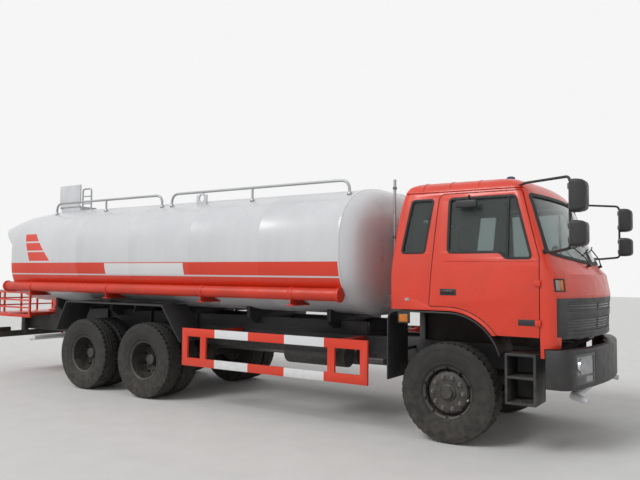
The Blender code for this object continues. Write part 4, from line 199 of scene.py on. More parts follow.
MIRROR = Matrix.Scale(-1, 4, Vector((0, 1, 0)))


def keep_pair(item, name, finish, bodies, nodes=()):
    """Keep a right-hand piece and its mirror on the left."""
    left = copied(item, MIRROR)
    keep(item, name + "_right", finish, bodies[0], [node + "_right" for node in nodes])
    keep(left, name + "_left", finish, bodies[1], [node + "_left" for node in nodes])


CHASSIS_PAIR = ("chassis", "chassis")
CAB_PAIR = ("cab", "cab")
DOOR_PAIR = ("door_right", "door_left")

# %% [markdown]
# The shapes themselves come from a few makers: a box between two corners, a bar between two
# points, a bent pipe, a turned profile, a flat outline pushed along an axis, and a skin over a
# row of rings. A primitive, a curve or a bmesh can each do these; a bmesh is used where the
# points follow a rule.

# %% Helpers that make a shape


def box(x_ends, y_ends, z_ends):
    """A box between pairs of ends."""
    shape = bmesh.new()
    bmesh.ops.create_cube(shape, size=1.0)
    low = Vector((min(x_ends), min(y_ends), min(z_ends)))
    high = Vector((max(x_ends), max(y_ends), max(z_ends)))
    shape.transform(Matrix.Translation((low + high) / 2) @ Matrix.Diagonal((high - low).to_4d()))
    return from_shape(shape)


def bar(start, end, radius, sides=24, end_radius=None):
    """A round bar or cone between two points."""
    start, end = Vector(start), Vector(end)
    along = end - start
    shape = bmesh.new()
    bmesh.ops.create_cone(shape, cap_ends=True, segments=sides, radius1=radius,
                          radius2=radius if end_radius is None else end_radius,
                          depth=along.length)
    turn = along.to_track_quat("Z", "Y").to_matrix().to_4x4()
    shape.transform(Matrix.Translation((start + end) / 2) @ turn)
    return from_shape(shape)


def bend(points, radius, steps=5):
    """Points of a path whose corners are rounded to a radius."""
    path = [Vector(points[0])]
    for before, here, after in zip(points, points[1:], points[2:]):
        here = Vector(here)
        back, on = Vector(before) - here, Vector(after) - here
        reach = min(radius, back.length / 2, on.length / 2)
        start, end = here + back.normalized() * reach, here + on.normalized() * reach
        for i in range(steps + 1):
            share = i / steps
            first, second = start.lerp(here, share), here.lerp(end, share)
            path.append(first.lerp(second, share))
    path.append(Vector(points[-1]))
    return path


def pipe(points, radius, corner=0.0, sides=4, cyclic=False):
    """A pipe along points, with rounded corners where a corner radius is given."""
    curve = bpy.data.curves.new("pipe", "CURVE")
    curve.dimensions = "3D"
    curve.bevel_depth = radius
    curve.bevel_resolution = sides
    curve.use_fill_caps = not cyclic
    path = bend(points, corner) if corner else [Vector(point) for point in points]
    line = curve.splines.new("POLY")
    line.points.add(len(path) - 1)
    for point, place in zip(line.points, path):
        point.co = (*place, 1)
    line.use_cyclic_u = cyclic
    item = bpy.data.objects.new("pipe", curve)
    bpy.context.scene.collection.objects.link(item)
    return hold(plain(item))


# %% Helpers that make a shape from an outline


def turned(profile, place, outward=1, steps=72):
    """A profile of (radius, distance outboard) turned about an axis across the truck."""
    shape = bmesh.new()
    points = [shape.verts.new((radius, 0, out)) for radius, out in profile]
    edges = [shape.edges.new(pair) for pair in zip(points, points[1:])]
    bmesh.ops.spin(shape, geom=points + edges, cent=(0, 0, 0), axis=(0, 0, 1),
                   angle=2 * math.pi, steps=steps, use_merge=True)
    bmesh.ops.remove_doubles(shape, verts=shape.verts, dist=CLOSE)
    side = Matrix(((1, 0, 0, 0), (0, 0, outward, 0), (0, -outward, 0, 0), (0, 0, 0, 1)))
    shape.transform(Matrix.Translation(place) @ side)
    return from_shape(shape)


def prism(outline, axis, ends):
    """A flat outline pushed along an axis; its points are (x, z), (y, z) or (x, y)."""
    def at(point, depth):
        first, second = point
        return {"Y": (first, depth, second), "X": (depth, first, second),
                "Z": (first, second, depth)}[axis]
    shape = bmesh.new()
    rows = [[shape.verts.new(at(point, depth)) for point in outline] for depth in ends]
    for row in rows:
        shape.faces.new(row)
    for i in range(len(outline)):
        k = (i + 1) % len(outline)
        shape.faces.new((rows[0][i], rows[0][k], rows[1][k], rows[1][i]))
    return from_shape(shape)


def loft(rings, caps=True, closed=True):
    """Skin a row of rings that have the same number of points."""
    shape = bmesh.new()
    rows = [[shape.verts.new(point) for point in ring] for ring in rings]
    count = len(rows[0])
    for here, there in zip(rows, rows[1:]):
        for i in range(count if closed else count - 1):
            k = (i + 1) % count
            shape.faces.new((here[i], here[k], there[k], there[i]))
    if caps:
        shape.faces.new(rows[0])
        shape.faces.new(rows[-1])
    return from_shape(shape)


def arc(centre, radius, start_deg, end_deg, steps):
    """Points on an arc, ends included."""
    turn = [math.radians(start_deg + (end_deg - start_deg) * i / steps) for i in range(steps + 1)]
    return [(centre[0] + radius * math.cos(a), centre[1] + radius * math.sin(a)) for a in turn]


def circle(centre, radius, count, offset=0.0):
    """Points evenly round a centre."""
    turns = [2 * math.pi * (k + offset) / count for k in range(count)]
    return [(centre[0] + radius * math.cos(a), centre[1] + radius * math.sin(a)) for a in turns]


def rectangle(first_ends, second_ends):
    """The corners of a rectangle between pairs of ends."""
    (a, b), (c, d) = first_ends, second_ends
    return [(a, c), (b, c), (b, d), (a, d)]


# %% A helper that softens a solid of the frame


def softened(node, finish, width=0.004, name=None, smooth=SMOOTH_DEG):
    """Stand a copy with rounded edges in for a solid of the frame."""
    source = frame["nodes"][node]
    shape = bmesh.new()
    shape.from_mesh(source.data)
    bmesh.ops.remove_doubles(shape, verts=shape.verts, dist=CLOSE)
    bmesh.ops.dissolve_limit(shape, angle_limit=math.radians(0.3), verts=shape.verts,
                             edges=shape.edges)
    item = from_shape(shape)
    if width:
        item = rounded(item, width)
    return keep(item, name or node + "_finished", finish, source["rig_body"], [node], False, smooth)


print("helpers ready")

# %% [markdown]
# ## Finishes
# Every finish is a small tree of nodes on one Principled shader. A flat colour would look like
# plastic, so noise at two scales varies the colour and the roughness, a fine bump breaks the
# highlights, and road dust gathers low down and on what faces up. Constants are set on the
# shader's own sockets.

# %% Helpers for a finish


class Tree:
    """A material's nodes, with short ways to add and join them."""

    def __init__(self, name, colour, roughness, metallic=0.0):
        self.material = bpy.data.materials.new(name)
        self.material.use_nodes = True
        self.nodes = self.material.node_tree.nodes
        self.links = self.material.node_tree.links
        self.shader = self.nodes["Principled BSDF"]
        self.set("Base Color", (*colour, 1.0))
        self.set("Roughness", roughness)
        self.set("Metallic", metallic)
        self.place = self.add("TexCoord").outputs["Object"]
        along, self.y, self.z = self.add("SeparateXYZ", Vector=self.place).outputs
        self.x = self.math("SUBTRACT", along, AXLE_X)

    def set(self, socket, value):
        """Set a socket of the shader, or link a node's output to it."""
        self.feed(self.shader.inputs[socket], value)

    def feed(self, socket, value):
        """Give a node's input a number, a colour or another node's output."""
        if isinstance(value, bpy.types.NodeSocket):
            self.links.new(value, socket)
        else:
            socket.default_value = value

    def add(self, kind, **inputs):
        """Add a node and feed its named inputs."""
        node = self.nodes.new("ShaderNode" + kind)
        for name, value in inputs.items():
            self.feed(node.inputs[name], value)
        return node

    def math(self, operation, first, second=0.0, clamp=False):
        """One step of arithmetic."""
        node = self.nodes.new("ShaderNodeMath")
        node.operation = operation
        node.use_clamp = clamp
        self.feed(node.inputs[0], first)
        self.feed(node.inputs[1], second)
        return node.outputs[0]

    def noise(self, scale, detail=4.0, stretch=(1, 1, 1)):
        """Noise over the object's own space, from 0 to 1."""
        spread = self.add("Mapping", Vector=self.place, Scale=stretch)
        node = self.add("TexNoise", Vector=spread.outputs[0], Scale=scale, Detail=detail)
        return node.outputs["Fac"]

    def span(self, value, low, high, start=0.0, end=1.0):
        """Map a range of a value to another, held at both ends."""
        node = self.nodes.new("ShaderNodeMapRange")
        for socket, number in zip(node.inputs, (value, low, high, start, end)):
            self.feed(socket, number)
        return node.outputs[0]

    def mix(self, share, first, second):
        """Mix two colours."""
        node = self.nodes.new("ShaderNodeMix")
        node.data_type = "RGBA"
        self.feed(node.inputs[0], share)
        for socket, colour in ((node.inputs[6], first), (node.inputs[7], second)):
            self.feed(socket, (*colour, 1.0) if isinstance(colour, tuple) else colour)
        return node.outputs[2]

    def band(self, value, low, high, soft=0.0015):
        """1 where a value is between two ends, with a hair of softness."""
        rise = self.span(value, low - soft, low + soft)
        fall = self.span(value, high - soft, high + soft, 1.0, 0.0)
        return self.math("MULTIPLY", rise, fall)

    def bump(self, height, strength, distance):
        """A bump from a height."""
        node = self.add("Bump", Height=height, Strength=strength, Distance=distance)
        self.set("Normal", node.outputs[0])

    def facing(self, axis):
        """How far the surface faces along an axis, counted 0, 1, 2."""
        normal = self.add("NewGeometry").outputs["Normal"]
        return self.add("SeparateXYZ", Vector=normal).outputs[axis]

    def both(self, *masks):
        """The product of masks, which is 1 only where all of them are."""
        product = masks[0]
        for mask in masks[1:]:
            product = self.math("MULTIPLY", product, mask)
        return product

    def coat(self, weight, roughness):
        """A clear coat over the colour."""
        self.set("Coat Weight", weight)
        self.set("Coat Roughness", roughness)


# %% [markdown]
# The same kinds of wear go on every colour, and each finish says how much of each it has. One
# helper for them keeps the pieces alike, as things that stand in the same street are.

# %% Patches, dust and wear
DUST = (0.20, 0.17, 0.13)
DUST_TOP = 0.95
NOISE_SPAN = (0.3, 0.7)
DUST_ROUGHNESS = 0.4
GRAIN_DEPTH = 0.002


def weather(tree, colour, shade=0.85, dust=0.35, patch=3.0):
    """Vary a colour in patches, and lay road dust on it low down and on top."""
    patches = tree.span(tree.noise(patch, 5.0), 0.35, 0.68)
    if isinstance(colour, tuple):
        dark = tuple(c * shade for c in colour)
    else:
        dark = tree.mix(0.06, colour, (0.05, 0.05, 0.05))
    varied = tree.mix(patches, dark, colour)
    low = tree.span(tree.z, 0.1, DUST_TOP, 1.0, 0.0)
    flat = tree.span(tree.facing(2), 0.6, 1.0, 0.0, 0.35)
    grit = tree.span(tree.noise(14.0, 8.0), 0.38, 0.66)
    share = tree.math("MULTIPLY", tree.both(tree.math("MAXIMUM", low, flat), grit), dust, True)
    tree.set("Base Color", tree.mix(share, varied, DUST))
    return share


def wear(tree, colour, shade, dust, patch, rough, scale=9.0, detail=6.0):
    """Weather a colour, and let its roughness vary and rise with the dust."""
    share = weather(tree, colour, shade, dust, patch)
    base = tree.span(tree.noise(scale, detail), *NOISE_SPAN, *rough)
    dusty = tree.math("MULTIPLY", share, DUST_ROUGHNESS)
    tree.set("Roughness", tree.math("ADD", base, dusty, True))


def paint(name, colour, roughness=0.3, metallic=0.0, dust=0.35, grain=0.02, coat=0.0,
          shade=0.85, patch=3.0, rough_span=0.14, grain_scale=220.0):
    """A painted or moulded surface with patches, dust and a fine grain."""
    tree = Tree(name, colour, roughness, metallic)
    wear(tree, colour, shade, dust, patch, (roughness, roughness + rough_span))
    if coat:
        tree.coat(coat, 0.08)
    if grain:
        tree.bump(tree.noise(grain_scale, 2.0), grain, GRAIN_DEPTH)
    return tree.material


# %% [markdown]
# The red is an orange vermilion. Cab paint is glossier than the frame's: a thin clear coat
# gives it the second, sharper highlight of real car paint, with slight orange peel.

# %% The plain finishes
RED = (0.64, 0.034, 0.009)
WHITE = (0.60, 0.61, 0.63)

red_paint = paint("red_paint", RED, 0.32, dust=0.16, grain=0.02, coat=0.35, shade=0.90)
guard_red = paint("tube_red", (0.58, 0.032, 0.010), 0.40, dust=0.22, grain=0.05, shade=0.82)
white_paint = paint("white_paint", WHITE, 0.38, dust=0.25, grain=0.04)
rail_paint = paint("rail_silver", (0.42, 0.43, 0.44), 0.36, 0.6, dust=0.15)
frame_black = paint("frame_black", (0.022, 0.022, 0.023), 0.50, dust=0.55, grain=0.10, patch=6.0)
plastic_black = paint("black_plastic", (0.020, 0.020, 0.021), 0.42, dust=0.28, grain=0.25,
                      grain_scale=900.0)
gloss_black = paint("black_gloss", (0.010, 0.010, 0.011), 0.16, dust=0.12, grain=0.0, coat=0.4)
seal_black = paint("seal_rubber", (0.014, 0.014, 0.014), 0.62, dust=0.15, grain=0.2,
                   grain_scale=600.0)
tyre_rubber = paint("tyre_rubber", (0.020, 0.019, 0.018), 0.72, dust=0.20, grain=0.35,
                    patch=8.0, grain_scale=400.0)
rim_dark = paint("rim_dark", (0.035, 0.032, 0.030), 0.46, dust=0.28, grain=0.12, patch=10.0)
nut_steel = paint("nut_steel", (0.20, 0.19, 0.18), 0.42, 0.8, dust=0.40)
cast_iron = paint("cast_iron", (0.040, 0.036, 0.033), 0.70, dust=0.60, grain=0.5,
                  grain_scale=120.0)
steel = paint("bare_steel", (0.36, 0.36, 0.36), 0.34, 0.9, dust=0.25, grain=0.03)
mirror_silver = paint("mirror_face", (0.80, 0.82, 0.84), 0.03, 1.0, dust=0.0, grain=0.0,
                      rough_span=0.02)
reflector = paint("lamp_reflector", (0.75, 0.75, 0.76), 0.12, 1.0, dust=0.05, grain=0.0)
inside_grey = paint("inside_grey", (0.11, 0.11, 0.115), 0.60, dust=0.05, grain=0.3,
                    grain_scale=700.0)
seat_vinyl = paint("seat_cloth", (0.060, 0.062, 0.070), 0.78, dust=0.05, grain=0.5,
                   grain_scale=1100.0)

# %% [markdown]
# Lenses and panes let light through. A lens also has ribs, which a sine along the truck's
# corner gives: they are too fine to be worth any mesh.

# %% The clear finishes
LENS_RIBS = 160.0


def lens(name, colour, weight):
    """A moulded lamp lens: partly clear, with fine vertical ribs."""
    tree = Tree(name, colour, 0.12)
    weather(tree, colour, 0.75, 0.10, 12.0)
    tree.set("Transmission Weight", weight)
    tree.set("IOR", 1.49)
    place = tree.math("MULTIPLY", tree.math("ADD", tree.y, tree.x), LENS_RIBS)
    tree.bump(tree.math("SINE", place), 0.25, GRAIN_DEPTH)
    return tree.material


lens_clear = lens("lens_clear", (0.72, 0.74, 0.76), 0.6)
lens_amber = lens("lens_amber", (0.85, 0.26, 0.02), 0.35)
lens_red = lens("lens_red", (0.55, 0.02, 0.015), 0.30)
lens_blue = lens("lens_blue", (0.05, 0.08, 0.20), 0.30)

tinted = Tree("cab_glass", (0.42, 0.48, 0.47), 0.03)
tinted.set("Transmission Weight", 0.92)
tinted.set("IOR", 1.30)
tinted.set("Roughness", tinted.span(tinted.noise(5.0, 6.0), 0.4, 0.7, 0.02, 0.10))
cab_glass = tinted.material
print("finishes:", len(bpy.data.materials))

# %% [markdown]
# ## The tank's livery
# The stripes could be thin pieces laid over the barrel, but paint has no thickness, so they are
# masks in the tank's own finish: a band is 1 between two heights, and a fin is 1 between two
# slanted lines. Heights and lengths are in metres from the ground and the front axle.

# %% Paint of the tank
STRIPE_TOP, STRIPE_LOW = 1.90, 1.73
SKIRT_TOP, SKIRT_LOW = 1.71, 1.575
STRIPE_REAR_X, SILVER_REAR_X, SILVER_FRONT_X, STRIPE_FRONT_X = -7.67, -5.315, -3.713, -1.265
EDGE_LINE = 0.012
FIN_TOP, FIN_FOOT = 2.37, 1.93
FIN_REAR_X = (-7.331, -7.166)
FIN_FRONT_X = (-7.056, -6.634)
FIN_GAPS = (2.235, 2.085)
FIN_GAP = 0.012
SIDE_FADE_Y = (0.86, 0.90)
SILVER = (0.66, 0.67, 0.68)


def fin_mask(tree):
    """1 inside the three-part fin, between its two slanted edges."""
    down = tree.math("DIVIDE", tree.math("SUBTRACT", FIN_TOP, tree.z), FIN_TOP - FIN_FOOT)
    ends = [tree.math("ADD", tree.math("MULTIPLY", down, foot - top), top)
            for top, foot in (FIN_REAR_X, FIN_FRONT_X)]
    soft = (-EDGE_LINE / 8, EDGE_LINE / 8)
    fin = tree.both(tree.span(tree.math("SUBTRACT", tree.x, ends[0]), *soft),
                    tree.span(tree.math("SUBTRACT", ends[1], tree.x), *soft),
                    tree.band(tree.z, FIN_FOOT, FIN_TOP))
    for gap in FIN_GAPS:
        line = tree.band(tree.z, gap - FIN_GAP, gap + FIN_GAP)
        fin = tree.both(fin, tree.math("SUBTRACT", 1.0, line))
    return fin


def tank_finish():
    """Off-white paint with the red bands, the silver panel, the fins and rain streaks."""
    tree = Tree("tank_paint", WHITE, 0.34)
    side = tree.both(tree.span(tree.math("ABSOLUTE", tree.y), *SIDE_FADE_Y),
                     tree.span(tree.both(tree.facing(1), tree.y), 0.0, 0.02))
    upper = tree.both(tree.band(tree.z, STRIPE_LOW, STRIPE_TOP),
                      tree.band(tree.x, STRIPE_REAR_X, STRIPE_FRONT_X))
    lower = tree.both(tree.band(tree.z, SKIRT_LOW, SKIRT_TOP),
                      tree.band(tree.x, STRIPE_REAR_X - SKIRT_TOP, STRIPE_FRONT_X))
    silver = tree.both(tree.band(tree.z, STRIPE_LOW, STRIPE_TOP - EDGE_LINE),
                       tree.band(tree.x, SILVER_REAR_X, SILVER_FRONT_X), side)
    red = tree.math("MAXIMUM", tree.math("MAXIMUM", upper, lower), fin_mask(tree))
    streaks = tree.span(tree.noise(2.2, 6.0, (3.0, 3.0, 0.25)), 0.35, 0.75)
    white = tree.mix(streaks, tuple(c * 0.94 for c in WHITE), WHITE)
    colour = tree.mix(silver, tree.mix(tree.both(red, side), white, RED), SILVER)
    wear(tree, colour, 0.9, 0.06, 1.4, (0.27, 0.34), 4.0, 2.0)
    tree.coat(0.2, 0.1)
    tree.bump(tree.noise(1.6, 0.0), 0.06, 0.02)
    return tree.material


tank_paint = tank_finish()
print("tank painted")

# %% [markdown]
# ## Wheels
# A tyre is a turned profile, and its tread is the same turning with the rubber sunk where the
# grooves run. Cutting each groove with a Boolean would be slow and ragged; moving the points of
# a fine grid by a rule gives even lugs. The sidewall's ribs are steps of the profile.

# %% A tyre
TREAD_HALF_WIDTH = 0.112
TYRE_HALF_WIDTH = 0.139
BEAD_RADIUS = 0.262
FLANGE_RADIUS = 0.275
GROOVE_DEPTH = 0.013
LUG_COUNT = 44
STEPS_PER_LUG = 6
TREAD_ROWS = 28
RIB_PLACE_SHARES = (-0.62, -0.22, 0.22, 0.62)
RIB_GROOVE = 0.0065
ZIGZAG = 0.007
SIDEWALL_SHARES = ((0.262, 0.683), (0.285, 0.76), (0.290, 0.80), (0.305, 0.86), (0.312, 0.855),
                   (0.335, 0.93), (0.365, 0.985), (0.392, 1.0), (0.425, 0.99), (0.450, 0.965),
                   (0.456, 0.975), (0.470, 0.965), (0.476, 0.945), (0.495, 0.925), (0.508, 0.90))
NOMINAL_RADIUS = 0.525
CROWN_DROP = 0.006
SHOULDER_SHARE, SHOULDER_DROP, SHOULDER_GROOVE = 0.875, 0.011, 0.008


def held(value):
    """A value held between 0 and 1."""
    return min(1.0, max(0.0, value))


def lug_gap(turn):
    """1 in the gap between two lugs, 0 on a lug."""
    return held((-math.sin(turn * LUG_COUNT) - 0.35) * 4)


def tread_height(across, turn):
    """The radius of the tread at a place across it and a turn round it."""
    share = across / TREAD_HALF_WIDTH
    depth = lug_gap(turn) if abs(share) > RIB_PLACE_SHARES[-1] else 0.0
    for place in RIB_PLACE_SHARES:
        centre = place * TREAD_HALF_WIDTH + ZIGZAG * math.sin(turn * LUG_COUNT)
        depth = max(depth, held(1.6 - abs(across - centre) / RIB_GROOVE))
    return TYRE_RADIUS - CROWN_DROP * share ** 2 - GROOVE_DEPTH * depth


def tyre(place, outward=1):
    """A tyre about an axis across the truck, centred on a place."""
    scale = TYRE_RADIUS / NOMINAL_RADIUS
    steps = LUG_COUNT * STEPS_PER_LUG
    side = [(radius * scale, TYRE_HALF_WIDTH * share) for radius, share in SIDEWALL_SHARES]
    crown = [TREAD_HALF_WIDTH * (1 - 2 * i / TREAD_ROWS) for i in range(TREAD_ROWS + 1)]
    shoulder = TYRE_HALF_WIDTH * SHOULDER_SHARE
    shape = bmesh.new()
    rings = []
    for k in range(steps):
        turn = 2 * math.pi * k / steps
        edge = TYRE_RADIUS - SHOULDER_DROP - SHOULDER_GROOVE * lug_gap(turn)
        profile = side + [(edge, shoulder)] + [(tread_height(out, turn), out) for out in crown]
        profile += [(edge, -shoulder)] + [(radius, -out) for radius, out in reversed(side)]
        c, s = math.cos(turn), math.sin(turn)
        rings.append([shape.verts.new((radius * c, out * outward, radius * s))
                      for radius, out in profile])
    for here, there in zip(rings, rings[1:] + rings[:1]):
        for i in range(len(here)):
            j = (i + 1) % len(here)
            shape.faces.new((here[i], here[j], there[j], there[i]))
    shape.transform(Matrix.Translation(place))
    return from_shape(shape)


FRONT_WHEEL_Y = abs(wheel_low.y + wheel_high.y) / 2
TWIN_WHEEL_Y = 0.915
TWIN_SPACING = 0.32
low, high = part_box("twin_wheel_mid_right")
MID_AXLE_X = (low.x + high.x) / 2 - AXLE_X
low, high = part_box("twin_wheel_rear_right")
REAR_AXLE_X = (low.x + high.x) / 2 - AXLE_X
AXLE_Z = TYRE_RADIUS

print("axles at", round(MID_AXLE_X, 3), round(REAR_AXLE_X, 3))

# %% [markdown]
# A rim is turned too. Its hand holes are cut with a ring of short bars, and the nuts are six
# sided bars with a stud through each. Holes that are really cut let dark show through them at
# every angle, which a painted spot would not.

# %% Rims and nuts
NUT_COUNT, NUT_CIRCLE = 10, 0.1675
NUT_STEPS = ((0.005, 0.02375, 20), (0.024, 0.019, 6), (0.042, 0.0095, 12))
HOLE_COUNT, HOLE_CIRCLE, HOLE_RADIUS = 10, 0.222, 0.019
HOLE_OUT, HOLE_REACH, HOLE_LEAN = 0.062, 0.12, (0.55, 0.45)
BARREL_RADIUS = 0.246
RIM_EDGE = 0.107
BEAD_WIDTH = 0.013
FACE_OUT, TWIN_FACE_OUT = 0.088, 0.024
HUB_RADIUS, HUB_OUT = 0.095, 0.137


def nuts(place, face, outward):
    """Washers, nuts and studs on a face that many metres outboard of the place."""
    y = place[1]
    pieces = []
    for x, z in circle((place[0], place[2]), NUT_CIRCLE, NUT_COUNT):
        for reach, radius, sides in NUT_STEPS:
            pieces.append(bar((x, y + outward * (face - 0.002), z),
                              (x, y + outward * (face + reach), z), radius, sides))
    return merged(pieces)


def rim_bead(edge):
    """The rolled edge of a rim, as (radius, distance out)."""
    return [(BARREL_RADIUS, edge - 0.03), (BARREL_RADIUS + 0.004, edge - 0.010),
            (FLANGE_RADIUS - 0.010, edge - 0.002), (FLANGE_RADIUS - 0.003, edge),
            (FLANGE_RADIUS, edge - BEAD_WIDTH / 2), (FLANGE_RADIUS - 0.002, edge - BEAD_WIDTH),
            (BEAD_RADIUS, edge - BEAD_WIDTH - 0.001)]


def flipped(profile):
    """A profile seen from the other side of the wheel."""
    return [(radius, -out) for radius, out in reversed(profile)]


def front_rim(place, outward):
    """A rim whose face stands out to the studs, with its hand holes cut."""
    face = [(0, HUB_OUT - 0.02), (HUB_RADIUS * 0.72, HUB_OUT - 0.02),
            (HUB_RADIUS * 0.80, FACE_OUT), (0.125, FACE_OUT), (0.128, FACE_OUT - 0.004),
            (0.200, FACE_OUT - 0.004), (0.212, FACE_OUT - 0.012), (0.238, 0.034),
            (BARREL_RADIUS, 0.022)]
    back = [(BARREL_RADIUS, 0.006), (0.228, 0.020), (0.200, FACE_OUT - 0.02),
            (HUB_RADIUS, FACE_OUT - 0.02), (HUB_RADIUS, -0.03), (0, -0.03)]
    bead = rim_bead(RIM_EDGE)
    holes = []
    for x, z in circle((place[0], place[2]), HOLE_CIRCLE, HOLE_COUNT, 0.5):
        centre = Vector((x, place[1] + outward * HOLE_OUT, z))
        lean = (centre - Vector(place)) * HOLE_LEAN[0] / HOLE_CIRCLE
        lean.y = outward * HOLE_LEAN[1]
        holes.append(bar(centre - lean * HOLE_REACH, centre + lean * HOLE_REACH, HOLE_RADIUS, 20))
    return cut(turned(face + bead + flipped(bead) + back, place, outward), merged(holes))


def twin_rim(place, outward):
    """Two deep rims back to back, with the disc between the outer one and the hub."""
    half = TWIN_SPACING / 2
    inner, neck = half - RIM_EDGE, BARREL_RADIUS + 0.006
    face = [(0, 0.03), (0.100, 0.03), (0.106, TWIN_FACE_OUT), (0.205, TWIN_FACE_OUT),
            (0.222, 0.030), (0.236, 0.058), (BARREL_RADIUS, 0.085)]
    middle = [(BEAD_RADIUS, inner + 0.01), (neck, inner - 0.012)]
    back = [(BARREL_RADIUS, 0.0), (0.228, 0.0), (0.20, -0.01), (0.20, -0.20), (0, -0.20)]
    bead = rim_bead(half + RIM_EDGE)
    profile = face + bead + middle + flipped(middle) + flipped(bead) + back
    x, y, z = place
    holes = [bar((x, y - outward * 0.03, z), (x, y + outward * 0.1, z), HOLE_RADIUS, 20)
             for x, z in circle((x, z), HOLE_CIRCLE, HOLE_COUNT, 0.5)]
    return cut(turned(profile, place, outward), merged(holes))


def hub_cap(place, face, outward, radius, reach):
    """The turned cap in the middle of a wheel, with a ring of small bolts."""
    profile = [(0, reach), (radius * 0.62, reach), (radius * 0.70, reach - 0.006),
               (radius * 0.74, reach * 0.55 + face * 0.45), (radius, face + 0.012),
               (radius, face - 0.004), (0, face - 0.004)]
    x, y, z = place
    bolts = [bar((x, y + outward * (face + 0.008), z), (x, y + outward * (face + 0.024), z),
                 0.007, 6) for x, z in circle((x, z), radius * 0.86, 8, 0.25)]
    return merged([turned(profile, place, outward, 48)] + bolts)


# %% The wheels in place
for word, side in (("right", -1), ("left", 1)):
    place = (0, side * FRONT_WHEEL_Y, AXLE_Z)
    body = "wheel_front_" + word
    keep(tyre(place, side), "tyre_detail_front_" + word, tyre_rubber, body, ["tyre_front_" + word])
    keep(front_rim(place, side), "rim_detail_front_" + word, rim_dark, body,
         ["rim_front_" + word])
    keep(nuts(place, FACE_OUT - 0.004, side), "nuts_front_" + word, nut_steel, body)
    keep(hub_cap(place, FACE_OUT, side, 0.088, HUB_OUT), "hub_cap_front_" + word, rim_dark, body)
    for axle, x in (("mid", MID_AXLE_X), ("rear", REAR_AXLE_X)):
        place = (x, side * TWIN_WHEEL_Y, AXLE_Z)
        tail = "_%s_%s" % (axle, word)
        body = "wheel" + tail
        tyres = merged([tyre((x, side * (TWIN_WHEEL_Y + out), AXLE_Z), side)
                        for out in (TWIN_SPACING / 2, -TWIN_SPACING / 2)])
        keep(tyres, "tyres" + tail, tyre_rubber, body, ["twin_wheel" + tail])
        keep(twin_rim(place, side), "rims" + tail, rim_dark, body)
        keep(nuts(place, TWIN_FACE_OUT, side), "nuts" + tail, nut_steel, body)
        keep(hub_cap(place, 0.028, side, 0.104, 0.149), "hub" + tail, rim_dark, body)
print("wheels done")

# %% [markdown]
# ## The tank
# The barrel's section is a superellipse, between a circle and a rounded box: the power sets how
# square it is. Rings of it run from the dished front head to the hood at the tail, where the
# section grows squarer and lower. A subdivided box would get near this, but rings keep every
# height and width under a number.

# %% Barrel
TANK_HALF_WIDTH = 1.21
TANK_BOTTOM_Z, TANK_TOP_Z = 1.245, 2.84
TANK_POWER = 2.6
RIM_X, RIM_WIDTH, RIM_STAND = -1.25, 0.05, 0.008
DOME_DEPTH = 0.27
DOME_SHARES = ((1.0, 0.03), (0.995, 0.25), (0.965, 0.45), (0.91, 0.62), (0.80, 0.78),
               (0.65, 0.875), (0.48, 0.93), (0.25, 0.975), (0.06, 0.995))
TAIL_START_X, TAIL_MID_X, TAIL_END_X = -7.15, -7.66, -8.02
TAIL_MID_TOP_Z, TAIL_END_TOP_Z = 2.76, 2.60
TAIL_MID_POWER, TAIL_END_POWER = 3.1, 4.2
TAIL_HALF_WIDTH = 1.20
TAIL_CUT_Z, TAIL_LIP_Z = 2.20, 2.50
REAR_HEAD_X = -7.38
WALL = 0.03
RING_STEPS = 144
TAIL_STEPS = 7
SEAM_STEPS = 5
SEAM = ((0.011, 1.0), (0.004, 1.0016), (-0.004, 1.0016), (-0.011, 1.0))
RIM_STEP = 0.006


def oval(x, scale=1.0, top=TANK_TOP_Z, half=TANK_HALF_WIDTH, power=TANK_POWER, inset=0.0):
    """One ring of the tank."""
    middle = (TANK_BOTTOM_Z + top) / 2
    wide, high = half * scale - inset, (top - TANK_BOTTOM_Z) / 2 * scale - inset
    ring = []
    for i in range(RING_STEPS):
        turn = 2 * math.pi * i / RING_STEPS
        c, s = math.cos(turn), math.sin(turn)
        ring.append((x, wide * math.copysign(abs(c) ** (2 / power), c),
                     middle + high * math.copysign(abs(s) ** (2 / power), s)))
    return ring


def tail_rings(start_x, inset=0.0):
    """Rings of the hood, from a place near its start to its rear edge."""
    rings = []
    stations = ((TAIL_START_X, TANK_TOP_Z, TANK_HALF_WIDTH, TANK_POWER),
                (TAIL_MID_X, TAIL_MID_TOP_Z, TANK_HALF_WIDTH, TAIL_MID_POWER),
                (TAIL_END_X, TAIL_END_TOP_Z, TAIL_HALF_WIDTH, TAIL_END_POWER))
    for first, second in zip(stations, stations[1:]):
        for k in range(TAIL_STEPS + 1):
            share = k / TAIL_STEPS
            x, top, half, power = (a + (b - a) * share for a, b in zip(first, second))
            if x <= start_x and not (rings and abs(rings[-1][0][0] - x) < CLOSE):
                rings.append(oval(x, 1.0, top, half, power, inset))
    return rings


stand = 1 + RIM_STAND / TANK_HALF_WIDTH
barrel = [oval(RIM_X + DOME_DEPTH * out, scale) for out, scale in DOME_SHARES]
barrel += [oval(RIM_X + RIM_STEP, 0.9995), oval(RIM_X, stand), oval(RIM_X - RIM_WIDTH, stand),
           oval(RIM_X - RIM_WIDTH - RIM_STEP, 1.0)]
for k in range(1, SEAM_STEPS):
    x = RIM_X + (TAIL_START_X - RIM_X) * k / SEAM_STEPS
    barrel += [oval(x + ahead, scale) for ahead, scale in SEAM]
barrel = loft(barrel + tail_rings(TAIL_START_X))

